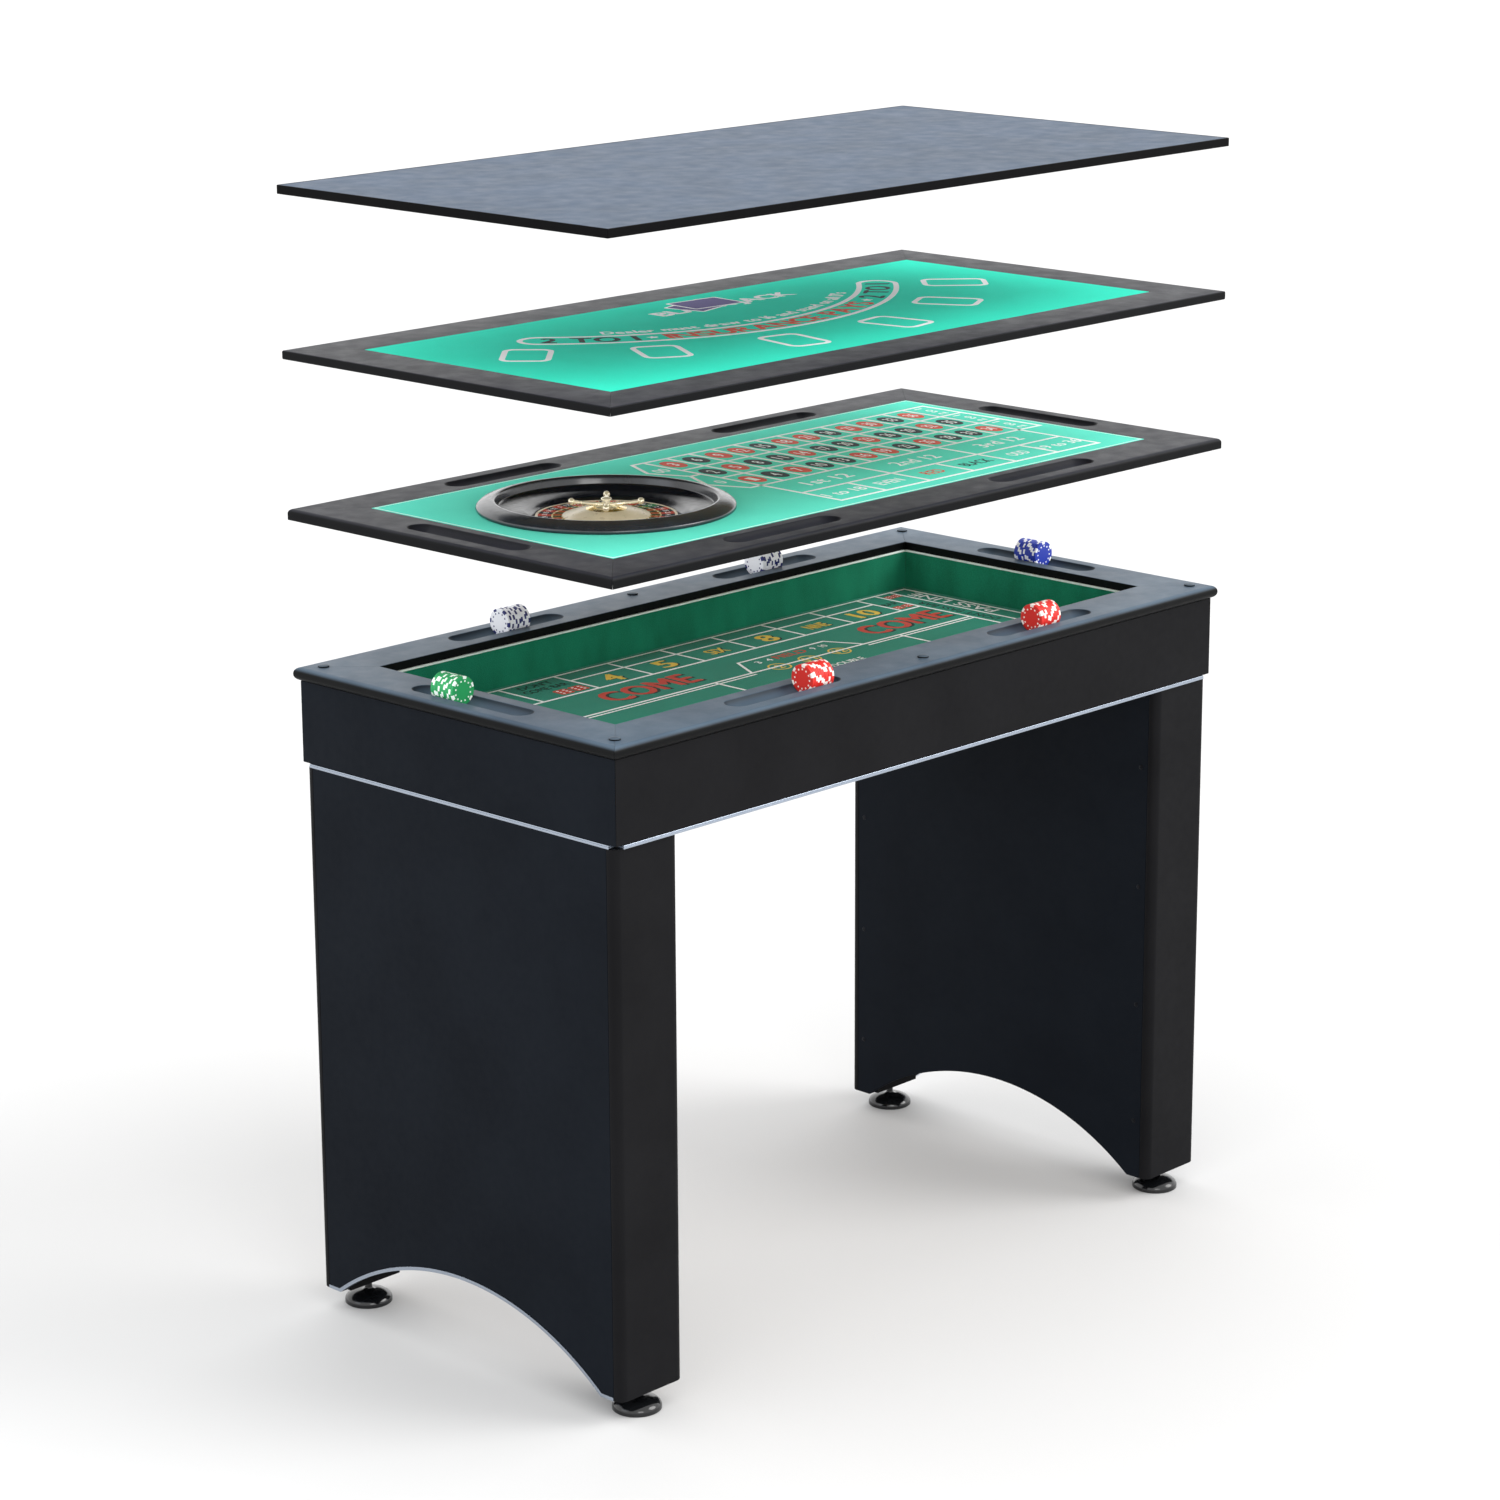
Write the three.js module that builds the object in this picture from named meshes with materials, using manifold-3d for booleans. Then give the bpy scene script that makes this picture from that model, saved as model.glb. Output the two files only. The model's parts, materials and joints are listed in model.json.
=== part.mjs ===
// Casino game table: a craps table on two pedestal legs, with a roulette board, a blackjack board and a
// dining top that lift off it one above the other. Millimetres, +Z up, +X along the length, front at -Y,
// origin on the floor under the middle of the table. The three boards stand lifted apart.
import * as THREE from 'three';
import { mergeVertices } from 'three/addons/utils/BufferGeometryUtils.js';
import Module from 'manifold-3d';

const wasm = await Module();
wasm.setup();

// Overall size
const tableLength = 1219; // along X
const tableWidth = 610; // along Y
const tableHeight = 914; // floor to the top of the rail
const gap = 0.3; // left between pieces that touch
const mitreGap = 0.4; // along the bar, between two mitred ends

// Rail round the craps well
const railWidth = 82;
const railThick = 18;
const railOverhang = 7; // past the aprons
const railEdgeFlat = 0.8; // left flat in the middle of the bullnose edge

// Chip troughs, routed with a round bottom, in the rail and in the roulette board
const troughWidth = 38;
const railTroughDepth = 11;
const boardTroughDepth = 10;
const sideTroughLength = 205;
const sideTroughOffset = 260; // each side of the middle, on the long sides
const endTroughLength = 215;
const troughInset = 43; // outer edge of the board to the trough's middle line

// Rubber caps over the rail's screws: the lifted boards come down on them
const capRadius = 8;
const capHeight = 3;
const capInset = 29;

// Aprons and the metal strip under them
const apronThick = 12;
const apronDrop = 118; // underside of the rail to the bottom of the strip
const stripHeight = 5;
const stripProud = 0.8;
const stripShort = 13; // the strip stops this far from each corner

// Craps well
const wellDepth = 68; // top of the rail to the felt
const feltThick = 1;
const bedThick = 12;
const linerLip = 5; // the part of the liner that stands inside the rail's opening
const linerTongue = 7; // the part that runs under the rail
const linerDrop = 14; // top of the rail to the top of the liner

// Pedestal legs
const legDepth = 115; // along X
const legInset = 4; // behind the faces of the long aprons
const legFloorGap = 32; // floor to the bottom of the leg
const panelThick = 12;
const stileThick = 14;
const stileCornerLeft = 2; // of the stile's thickness, behind its rounded corners
const archFlat = 38; // leg face to the springing of the arch
const archRise = 88;
const edgingThick = 5; // metal edging under the outer panel
const beamTenon = 22; // how far the leg beam reaches down between the panels

// Levelling feet
const footRadius = 33.5;
const footRimHeight = 4;
const footDomeHeight = 17;
const footNeckRadius = 9;
const stemRadius = 5;
const stemReach = 26; // up into the foot block
const stemClearance = 0.4;
const footBlockWidth = 30;
const footBlockHeight = 45;

// Boards above the rail. Each lift is from the top of the rail to the top of the board.
const rouletteLift = 215;
const blackjackLift = 426;
const diningLift = 642;
const rouletteThick = 15;
const rouletteFrame = 78;
const rouletteEdgeRadius = 6;
const blackjackThick = 12;
const blackjackFrame = 76;
const blackjackEdgeRadius = 2;
const diningThick = 12;
const fieldThick = 9;
const underframeThick = 18; // holds the blackjack board clear of the roulette wheel
const underframeWidth = 20;
const underframeInset = 90; // its outer face to the edge of the board

// Roulette wheel, all heights from the top of the roulette board
const wheelX = -320;
const wheelY = 0;
const headRadius = 94;
const headClearance = 4; // head to the pot round it
const potSlope = 14; // width of the slope from the pot up to the ball track
const potSlopeFoot = 3;
const potDepth = 14;
const trackWidth = 32;
const trackLip = 2; // top of the track's outer edge above the board
const trackDrop = 5; // bottom of the track below the board
const rimLean = 6; // track's outer edge to the crest of the rim
const flangeWidth = 22; // crest of the rim to the outer edge
const flangeShoulder = 6;
const rimEdgeHeight = 5;
const rimCrestHeight = 14.5;
const bowlWall = 3;
const holeClearance = 0.7;
const spindleRadius = 4;
const spindleFlangeRadius = 8;
const spindleFlange = 1;
const spindleClearance = 0.3;
const headRimHeight = 2.8;
const numberRingWidth = 22;
const pocketRingWidth = 14;
const coneHeight = 13.5;
const coneRadius = 26;
const coneCap = 4; // left over the spindle's bore
const turretRise = 13.5; // top of the cone to the top of the finial
const turretStemRadius = 6;
const armLength = 46;
const armRadius = 3;
const armRise = 5.5; // top of the cone to the middle of a knob
const knobRadius = 5;

// Heights that follow
const railUnder = tableHeight - railThick;
const stripBottom = railUnder - apronDrop;
const apronHeight = apronDrop - stripHeight - 2 * gap;
const feltTop = tableHeight - wellDepth;
const bedTop = feltTop - feltThick - gap;
const bedUnder = bedTop - bedThick;
const legTop = stripBottom - gap;
const rouletteTop = tableHeight + rouletteLift;
const blackjackTop = tableHeight + blackjackLift;
const diningTop = tableHeight + diningLift;

// Half sizes that follow
const halfLength = tableLength / 2;
const halfWidth = tableWidth / 2;
const apronX = halfLength - railOverhang;
const apronY = halfWidth - railOverhang;
const legY = apronY - legInset;
const panelHalf = legY - stileThick - gap;
const legMiddleX = apronX - legDepth / 2;
const footY = panelHalf - gap - footBlockWidth / 2;
const railEdgeRadius = (railThick - railEdgeFlat) / 2;
const stileCornerRadius = stileThick - stileCornerLeft;

// Wheel radii that follow, from the head outwards
const potRadius = headRadius + headClearance;
const trackInnerRadius = potRadius + potSlope;
const trackOuterRadius = trackInnerRadius + trackWidth;
const rimCrestRadius = trackOuterRadius + rimLean;
const bowlHoleRadius = rimCrestRadius;
const bowlRadius = rimCrestRadius + flangeWidth;

const paint = (color, roughness, metalness = 0) =>
  new THREE.MeshStandardMaterial({ color, roughness, metalness });
const looks = {
  laminate: () => paint(0x26272b, 0.42),
  panel: () => paint(0x1c1d21, 0.5),
  lumber: () => paint(0xb08a5a, 0.8),
  baize: () => paint(0x1c7a58, 0.95),
  brightBaize: () => paint(0x35c9a0, 0.92),
  silver: () => paint(0xc9ccd2, 0.22, 1),
  rubber: () => paint(0x15161a, 0.55),
  glossBlack: () => paint(0x0d0e11, 0.15),
  ivory: () => paint(0xd8c9a8, 0.4),
  brass: () => paint(0xcaa04a, 0.25, 1),
  slate: () => paint(0x39424f, 0.35),
};

const model = new THREE.Group();

function addPiece(name, geometry, material, x = 0, y = 0, z = 0, turn = 0) {
  const mesh = new THREE.Mesh(geometry, material);
  mesh.name = name;
  mesh.position.set(x, y, z);
  mesh.rotation.z = turn;
  model.add(mesh);
}

// Solids for cutting and joining
function solidOf(geometry) {
  const plain = geometry.clone();
  plain.deleteAttribute('normal');
  plain.deleteAttribute('uv');
  const merged = mergeVertices(plain);
  return new wasm.Manifold(new wasm.Mesh({
    numProp: 3,
    vertProperties: new Float32Array(merged.attributes.position.array),
    triVerts: new Uint32Array(merged.index.array),
  }));
}

function geometryOf(solid) {
  const mesh = solid.getMesh();
  const geometry = new THREE.BufferGeometry();
  geometry.setAttribute('position', new THREE.BufferAttribute(mesh.vertProperties, 3));
  geometry.setIndex(new THREE.BufferAttribute(mesh.triVerts, 1));
  return geometry;
}

function box(sizeX, sizeY, sizeZ) {
  return new THREE.BoxGeometry(sizeX, sizeY, sizeZ).translate(0, 0, sizeZ / 2);
}

// A turned piece about Z, from a profile of [radius, height] points
function turned(profile, segments) {
  const points = profile.map(([radius, height]) => new THREE.Vector2(radius, height));
  return new THREE.LatheGeometry(points, segments).rotateX(Math.PI / 2);
}

function extruded(shape, depth, curveSegments = 6) {
  return new THREE.ExtrudeGeometry(shape, { depth, curveSegments, bevelEnabled: false });
}

// The four sides of the table. Each is drawn as the front side and turned into place.
const sides = [
  { name: 'front', turn: 0, halfAlong: halfLength, halfOut: halfWidth, isLong: true },
  { name: 'right', turn: Math.PI / 2, halfAlong: halfWidth, halfOut: halfLength, isLong: false },
  { name: 'back', turn: Math.PI, halfAlong: halfLength, halfOut: halfWidth, isLong: true },
  { name: 'left', turn: -Math.PI / 2, halfAlong: halfWidth, halfOut: halfLength, isLong: false },
];

// A bar along one side with mitred ends. The outline's x runs in from the outer face and its y runs up.
function mitredBar(outline, halfAlong, halfOut) {
  const bar = extruded(outline, 1, 4);
  const points = bar.attributes.position;
  for (let i = 0; i < points.count; i += 1) {
    const inset = points.getX(i);
    const height = points.getY(i);
    const end = points.getZ(i) > 0.5 ? 1 : -1;
    points.setXYZ(i, end * (halfAlong - inset - mitreGap / 2), inset - halfOut, height);
  }
  bar.computeVertexNormals();
  return bar;
}

function edgeOutline(width, thick, topRadius, bottomRadius) {
  const outline = new THREE.Shape();
  outline.moveTo(width, 0);
  if (bottomRadius > 0) {
    outline.absarc(bottomRadius, bottomRadius, bottomRadius, 1.5 * Math.PI, Math.PI, true);
  } else {
    outline.lineTo(0, 0);
  }
  outline.absarc(topRadius, thick - topRadius, topRadius, Math.PI, 0.5 * Math.PI, true);
  outline.lineTo(width, thick);
  return outline;
}

function stepOutline(points) {
  return new THREE.Shape(points.map(([inset, height]) => new THREE.Vector2(inset, height)));
}

// A round-bottomed cutter along X. It stands above the surface and dips into it by the trough's depth.
function troughCutter(length, depth) {
  const radius = (troughWidth * troughWidth / 4 + depth * depth) / (2 * depth);
  const straight = length / 2 - troughWidth / 2;
  const steps = 5;
  const profile = [];
  for (let i = 0; i <= steps; i += 1) {
    const angle = (i / steps) * Math.PI / 2;
    profile.push([radius * Math.sin(angle), -straight - radius * Math.cos(angle)]);
  }
  for (let i = steps; i >= 0; i -= 1) {
    const angle = (i / steps) * Math.PI / 2;
    profile.push([radius * Math.sin(angle), straight + radius * Math.cos(angle)]);
  }
  profile[0][0] = 0;
  profile[profile.length - 1][0] = 0;
  return turned(profile, 26).rotateY(Math.PI / 2).translate(0, 0, radius - depth);
}

function cutTroughs(bar, side, thick, depth) {
  const length = side.isLong ? sideTroughLength : endTroughLength;
  const offsets = side.isLong ? [-sideTroughOffset, sideTroughOffset] : [0];
  let solid = solidOf(bar);
  for (const offset of offsets) {
    const cutter = troughCutter(length, depth).translate(offset, troughInset - side.halfOut, thick);
    solid = solid.subtract(solidOf(cutter));
  }
  return geometryOf(solid);
}

// Rail, with its troughs, and the caps on it
for (const side of sides) {
  const outline = edgeOutline(railWidth, railThick, railEdgeRadius, railEdgeRadius);
  const bar = mitredBar(outline, side.halfAlong, side.halfOut);
  const rail = cutTroughs(bar, side, railThick, railTroughDepth);
  addPiece(`rail_${side.name}`, rail, looks.laminate(), 0, 0, railUnder, side.turn);
}

const capProfile = [
  [0, 0],
  [capRadius, 0],
  [capRadius, capHeight * 0.3],
  [capRadius * 0.8, capHeight * 0.75],
  [capRadius * 0.45, capHeight],
  [0, capHeight],
];
for (const [end, endName] of [[-1, 'left'], [0, 'middle'], [1, 'right']]) {
  for (const [face, faceName] of [[-1, 'front'], [1, 'back']]) {
    const x = end * (halfLength - capInset);
    const y = face * (halfWidth - capInset);
    const cap = turned(capProfile, 14);
    addPiece(`cap_${faceName}_${endName}`, cap, looks.rubber(), x, y, tableHeight + gap);
  }
}

// Aprons, and the strip set along the bottom of each
for (const side of sides) {
  const along = side.halfAlong - railOverhang;
  const out = side.halfOut - railOverhang;
  const outline = stepOutline([[0, 0], [apronThick, 0], [apronThick, apronHeight], [0, apronHeight]]);
  const apron = mitredBar(outline, along, out);
  addPiece(`apron_${side.name}`, apron, looks.panel(), 0, 0, railUnder - gap - apronHeight, side.turn);
  const stripDepth = apronThick + stripProud;
  const strip = box(2 * (along - stripShort), stripDepth, stripHeight);
  strip.translate(0, stripDepth / 2 - out - stripProud, 0);
  addPiece(`strip_${side.name}`, strip, looks.silver(), 0, 0, stripBottom, side.turn);
}

// Craps well: bed, felt and the four felt-covered walls. Each wall is rebated to hold up the rail.
const bedX = apronX - apronThick - gap;
const bedY = apronY - apronThick - gap;
addPiece('craps_bed', box(2 * bedX, 2 * bedY, bedThick), looks.lumber(), 0, 0, bedUnder);

const openX = halfLength - railWidth;
const openY = halfWidth - railWidth;
const feltX = openX - linerLip - 2 * gap;
const feltY = openY - linerLip - 2 * gap;
addPiece('craps_felt', box(2 * feltX, 2 * feltY, feltThick), looks.baize(), 0, 0, feltTop - feltThick);

for (const side of sides) {
  const bottom = bedTop + gap;
  const lipHeight = tableHeight - linerDrop - bottom;
  const tongueHeight = railUnder - gap - bottom;
  const tongue = linerTongue + gap;
  const full = tongue + linerLip;
  const outline = stepOutline([
    [0, 0],
    [full, 0],
    [full, lipHeight],
    [tongue, lipHeight],
    [tongue, tongueHeight],
    [0, tongueHeight],
  ]);
  const along = side.halfAlong - railWidth + linerTongue;
  const out = side.halfOut - railWidth + linerTongue;
  const liner = mitredBar(outline, along, out);
  addPiece(`well_wall_${side.name}`, liner, looks.baize(), 0, 0, bottom, side.turn);
}

// Pedestal legs. The arch is one arc between the flats, and the edging under the outer panel follows it.
const archHalf = legY - archFlat;
const archRadius = (archHalf * archHalf + archRise * archRise) / (2 * archRise);
const archMiddle = archRise - archRadius;

function archedOutline(lift, topHeight) {
  const radius = archRadius + lift;
  const start = Math.asin((lift - archMiddle) / radius);
  const outline = new THREE.Shape();
  outline.moveTo(panelHalf, lift);
  outline.lineTo(panelHalf, topHeight);
  outline.lineTo(-panelHalf, topHeight);
  outline.lineTo(-panelHalf, lift);
  outline.absarc(0, archMiddle, radius, Math.PI - start, start, true);
  return outline;
}

function archEdging() {
  const outer = archRadius + edgingThick;
  const innerStart = Math.asin(-archMiddle / archRadius);
  const outerStart = Math.asin((edgingThick - archMiddle) / outer);
  const outline = new THREE.Shape();
  outline.moveTo(-panelHalf, 0);
  outline.absarc(0, archMiddle, archRadius, Math.PI - innerStart, innerStart, true);
  outline.lineTo(panelHalf, 0);
  outline.lineTo(panelHalf, edgingThick);
  outline.absarc(0, archMiddle, outer, outerStart, Math.PI - outerStart, false);
  outline.lineTo(-panelHalf, edgingThick);
  return outline;
}

// Stands an outline drawn in Y and Z upright, with its thickness along X from zero
function uprightAcross(outline, thick) {
  return extruded(outline, thick, 9).rotateX(Math.PI / 2).rotateZ(Math.PI / 2);
}

function stileOutline() {
  const half = legDepth / 2;
  const corner = stileCornerRadius;
  const outline = new THREE.Shape();
  outline.moveTo(half, stileThick);
  outline.lineTo(-half, stileThick);
  outline.absarc(corner - half, corner, corner, Math.PI, 1.5 * Math.PI, false);
  outline.absarc(half - corner, corner, corner, 1.5 * Math.PI, 2 * Math.PI, false);
  return outline;
}

function levellingFoot() {
  const top = legFloorGap + stemReach;
  return turned([
    [0, 0],
    [footRadius - 1, 0],
    [footRadius, 1.5],
    [footRadius, footRimHeight],
    [footRadius * 0.82, footRimHeight + (footDomeHeight - footRimHeight) * 0.5],
    [footRadius * 0.52, footRimHeight + (footDomeHeight - footRimHeight) * 0.86],
    [footNeckRadius, footDomeHeight],
    [stemRadius, footDomeHeight + 3],
    [stemRadius, top],
    [0, top],
  ], 18);
}

function footBlock() {
  const width = legDepth - 2 * panelThick - 2 * gap;
  const bore = new THREE.CylinderGeometry(stemRadius + stemClearance, stemRadius + stemClearance,
    2 * (stemReach + gap), 18).rotateX(Math.PI / 2);
  return geometryOf(solidOf(box(width, footBlockWidth, footBlockHeight)).subtract(solidOf(bore)));
}

for (const [hand, handName] of [[-1, 'left'], [1, 'right']]) {
  const panelHeight = legTop - legFloorGap;
  const edged = edgingThick + gap;
  const outerPanel = uprightAcross(archedOutline(edged, panelHeight), panelThick);
  const innerPanel = uprightAcross(archedOutline(0, panelHeight), panelThick);
  const edging = uprightAcross(archEdging(), panelThick + stripProud);
  const outerX = hand < 0 ? -apronX : apronX - panelThick;
  const innerX = hand < 0 ? legDepth - apronX - panelThick : apronX - legDepth;
  const edgingX = hand < 0 ? -apronX - stripProud : apronX - panelThick;
  addPiece(`${handName}_leg_outer_panel`, outerPanel, looks.panel(), outerX, 0, legFloorGap);
  addPiece(`${handName}_leg_inner_panel`, innerPanel, looks.panel(), innerX, 0, legFloorGap);
  addPiece(`${handName}_leg_arch_edging`, edging, looks.silver(), edgingX, 0, legFloorGap);

  const beamLength = 2 * (panelHalf - gap);
  const beamWidth = legDepth - 2 * panelThick - 2 * gap;
  const beamBottom = legTop - beamTenon;
  const beam = box(beamWidth, beamLength, bedUnder - gap - beamBottom);
  addPiece(`${handName}_leg_beam`, beam, looks.lumber(), hand * legMiddleX, 0, beamBottom);

  for (const [face, faceName] of [[-1, 'front'], [1, 'back']]) {
    const label = `${handName}_leg_${faceName}`;
    const stile = extruded(stileOutline(), panelHeight, 4).translate(0, -legY, 0);
    const turn = face < 0 ? 0 : Math.PI;
    addPiece(`${label}_stile`, stile, looks.panel(), hand * legMiddleX, 0, legFloorGap, turn);
    const footX = hand * legMiddleX;
    addPiece(`${label}_foot_block`, footBlock(), looks.lumber(), footX, face * footY, legFloorGap);
    addPiece(`foot_${faceName}_${handName}`, levellingFoot(), looks.glossBlack(), footX, face * footY, 0);
  }
}

// Roulette board: mitred frame with chip troughs, and a field with a round hole for the wheel bowl
for (const side of sides) {
  const outline = edgeOutline(rouletteFrame, rouletteThick, rouletteEdgeRadius, 0);
  const bar = mitredBar(outline, side.halfAlong, side.halfOut);
  const frame = cutTroughs(bar, side, rouletteThick, boardTroughDepth);
  const bottom = rouletteTop - rouletteThick;
  addPiece(`roulette_frame_${side.name}`, frame, looks.laminate(), 0, 0, bottom, side.turn);
}

const rouletteFieldX = halfLength - rouletteFrame - gap;
const rouletteFieldY = halfWidth - rouletteFrame - gap;
const rouletteOutline = new THREE.Shape();
rouletteOutline.moveTo(-rouletteFieldX, -rouletteFieldY);
rouletteOutline.lineTo(rouletteFieldX, -rouletteFieldY);
rouletteOutline.lineTo(rouletteFieldX, rouletteFieldY);
rouletteOutline.lineTo(-rouletteFieldX, rouletteFieldY);
const bowlHole = new THREE.Path();
bowlHole.absarc(wheelX, wheelY, bowlHoleRadius, 0, 2 * Math.PI, true);
rouletteOutline.holes.push(bowlHole);
const rouletteField = extruded(rouletteOutline, fieldThick, 20);
addPiece('roulette_field', rouletteField, looks.brightBaize(), 0, 0, rouletteTop - fieldThick);

// Wheel bowl: flange and crest above the board, ball track sloping in, and a pot for the wheel head
const cupRadius = bowlHoleRadius - holeClearance;
const bowl = turned([
  [0, -potDepth - bowlWall],
  [potRadius + bowlWall / 2, -potDepth - bowlWall],
  [trackInnerRadius + bowlWall / 2, -trackDrop - bowlWall],
  [cupRadius, -bowlWall],
  [cupRadius, gap],
  [bowlRadius, gap],
  [bowlRadius, rimEdgeHeight],
  [bowlRadius - flangeShoulder, (rimEdgeHeight + rimCrestHeight) / 2],
  [rimCrestRadius + rimLean / 2, rimCrestHeight - 0.8],
  [rimCrestRadius, rimCrestHeight],
  [rimCrestRadius - rimLean / 2, rimCrestHeight - 1.2],
  [trackOuterRadius, trackLip],
  [trackInnerRadius, -trackDrop],
  [potRadius, potSlopeFoot - potDepth],
  [potRadius - potSlopeFoot / 2, -potDepth],
  [0, -potDepth],
], 40);
addPiece('wheel_bowl', bowl, looks.glossBlack(), wheelX, wheelY, rouletteTop);

const potFloor = rouletteTop - potDepth;
const spindleHeight = spindleFlange + coneHeight - coneCap;
const spindle = turned([
  [0, 0],
  [spindleFlangeRadius, 0],
  [spindleFlangeRadius, spindleFlange],
  [spindleRadius, spindleFlange],
  [spindleRadius, spindleHeight],
  [0, spindleHeight],
], 16);
addPiece('wheel_spindle', spindle, looks.silver(), wheelX, wheelY, potFloor + gap);

// Wheel head: number ring, pocket ring and a shallow cone, bored from below to run on the spindle
const headFloor = potFloor + gap + spindleFlange + gap;
const boreRadius = spindleRadius + spindleClearance;
const boreTop = coneHeight - coneCap + gap;
const pocketOuter = headRadius - numberRingWidth;
const pocketInner = pocketOuter - pocketRingWidth;
const head = turned([
  [0, boreTop],
  [boreRadius, boreTop],
  [boreRadius, 0],
  [headRadius, 0],
  [headRadius, headRimHeight],
  [pocketOuter, headRimHeight - 0.8],
  [pocketOuter - 1, headRimHeight - 1.4],
  [pocketInner + 1, headRimHeight - 1.4],
  [pocketInner, headRimHeight + 0.6],
  [coneRadius, coneHeight - 1.5],
  [coneRadius - 8, coneHeight],
  [0, coneHeight],
], 36);
addPiece('wheel_head', head, looks.ivory(), wheelX, wheelY, headFloor);

// Turret: stem, collar, four arms with ball knobs, and a finial
const turretFoot = coneHeight + gap;
const turretTop = coneHeight + turretRise;
let turret = solidOf(turned([
  [0, turretFoot],
  [coneRadius - 10, turretFoot],
  [coneRadius - 12, turretFoot + 1.5],
  [turretStemRadius + 1, turretFoot + 2.5],
  [turretStemRadius, turretFoot + 4],
  [turretStemRadius, turretTop - 4],
  [turretStemRadius + 1.5, turretTop - 2],
  [turretStemRadius - 1, turretTop],
  [0, turretTop],
], 16));
for (let i = 0; i < 4; i += 1) {
  const angle = Math.PI / 4 + i * Math.PI / 2;
  const arm = new THREE.CylinderGeometry(armRadius, armRadius, armLength, 8).translate(0, armLength / 2, 0);
  const knob = new THREE.SphereGeometry(knobRadius, 10, 7).translate(0, armLength, 0);
  for (const part of [arm, knob]) {
    part.rotateZ(angle).translate(0, 0, coneHeight + armRise);
    turret = turret.add(solidOf(part));
  }
}
addPiece('wheel_turret', geometryOf(turret), looks.brass(), wheelX, wheelY, headFloor);

// Blackjack board: mitred frame, plain field, and the underframe that rests on the roulette board
for (const side of sides) {
  const outline = edgeOutline(blackjackFrame, blackjackThick, blackjackEdgeRadius, blackjackEdgeRadius);
  const frame = mitredBar(outline, side.halfAlong, side.halfOut);
  const bottom = blackjackTop - blackjackThick;
  addPiece(`blackjack_frame_${side.name}`, frame, looks.laminate(), 0, 0, bottom, side.turn);
}
const blackjackFieldX = halfLength - blackjackFrame - gap;
const blackjackFieldY = halfWidth - blackjackFrame - gap;
const blackjackField = box(2 * blackjackFieldX, 2 * blackjackFieldY, fieldThick);
addPiece('blackjack_field', blackjackField, looks.brightBaize(), 0, 0, blackjackTop - fieldThick);

const underOuter = [halfLength - underframeInset, halfWidth - underframeInset];
const underInner = underOuter.map((half) => half - underframeWidth);
const underOutline = new THREE.Shape();
underOutline.moveTo(-underOuter[0], -underOuter[1]);
underOutline.lineTo(underOuter[0], -underOuter[1]);
underOutline.lineTo(underOuter[0], underOuter[1]);
underOutline.lineTo(-underOuter[0], underOuter[1]);
const underHole = new THREE.Path();
underHole.moveTo(-underInner[0], -underInner[1]);
underHole.lineTo(-underInner[0], underInner[1]);
underHole.lineTo(underInner[0], underInner[1]);
underHole.lineTo(underInner[0], -underInner[1]);
underOutline.holes.push(underHole);
const underframe = extruded(underOutline, underframeThick);
const underframeBottom = blackjackTop - blackjackThick - gap - underframeThick;
addPiece('blackjack_underframe', underframe, looks.laminate(), 0, 0, underframeBottom);

// Dining top
const diningPanel = box(tableLength, tableWidth, diningThick);
addPiece('dining_top', diningPanel, looks.slate(), 0, 0, diningTop - diningThick);

export default model;
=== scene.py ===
import json
import math
import random

import bmesh
import bpy
from mathutils import Matrix, Vector

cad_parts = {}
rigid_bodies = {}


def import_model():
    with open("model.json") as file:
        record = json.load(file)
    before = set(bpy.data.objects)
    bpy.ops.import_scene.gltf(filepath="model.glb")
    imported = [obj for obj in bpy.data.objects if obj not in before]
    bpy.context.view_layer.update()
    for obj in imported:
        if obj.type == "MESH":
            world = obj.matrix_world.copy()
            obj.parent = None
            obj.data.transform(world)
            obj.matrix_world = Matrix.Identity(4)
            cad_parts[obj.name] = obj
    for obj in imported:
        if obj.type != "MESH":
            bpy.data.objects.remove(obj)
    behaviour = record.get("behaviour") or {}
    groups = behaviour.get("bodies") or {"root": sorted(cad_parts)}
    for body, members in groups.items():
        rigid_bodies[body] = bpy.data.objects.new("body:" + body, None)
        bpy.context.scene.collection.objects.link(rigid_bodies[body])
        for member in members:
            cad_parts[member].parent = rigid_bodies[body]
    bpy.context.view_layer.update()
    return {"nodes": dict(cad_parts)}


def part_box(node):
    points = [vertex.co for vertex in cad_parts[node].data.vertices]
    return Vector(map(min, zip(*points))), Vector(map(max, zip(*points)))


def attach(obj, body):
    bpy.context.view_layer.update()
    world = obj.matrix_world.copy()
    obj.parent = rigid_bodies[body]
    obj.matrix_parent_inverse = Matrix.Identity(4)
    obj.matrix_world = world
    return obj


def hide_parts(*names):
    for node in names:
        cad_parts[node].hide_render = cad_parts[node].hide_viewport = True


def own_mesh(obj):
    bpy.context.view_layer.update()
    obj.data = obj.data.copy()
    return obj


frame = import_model()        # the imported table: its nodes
scene = bpy.context.scene
print("frame loaded:", len(frame["nodes"]), "nodes")

millimetre = 0.001


# small tools
def linearColour(hexText):
    channels = [int(hexText[i:i + 2], 16) / 255 for i in (0, 2, 4)]
    linear = [c / 12.92 if c <= 0.04045 else ((c + 0.055) / 1.055) ** 2.4 for c in channels]
    return (*linear, 1.0)


def addNode(tree, kind, settings=(), links=()):
    node = tree.nodes.new("ShaderNode" + kind)
    for key, value in dict(settings).items():
        if isinstance(key, int) or key in node.inputs:
            node.inputs[key].default_value = value
        else:
            setattr(node, key, value)
    for key, source in dict(links).items():
        tree.links.new(source, node.inputs[key])
    return node


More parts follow.
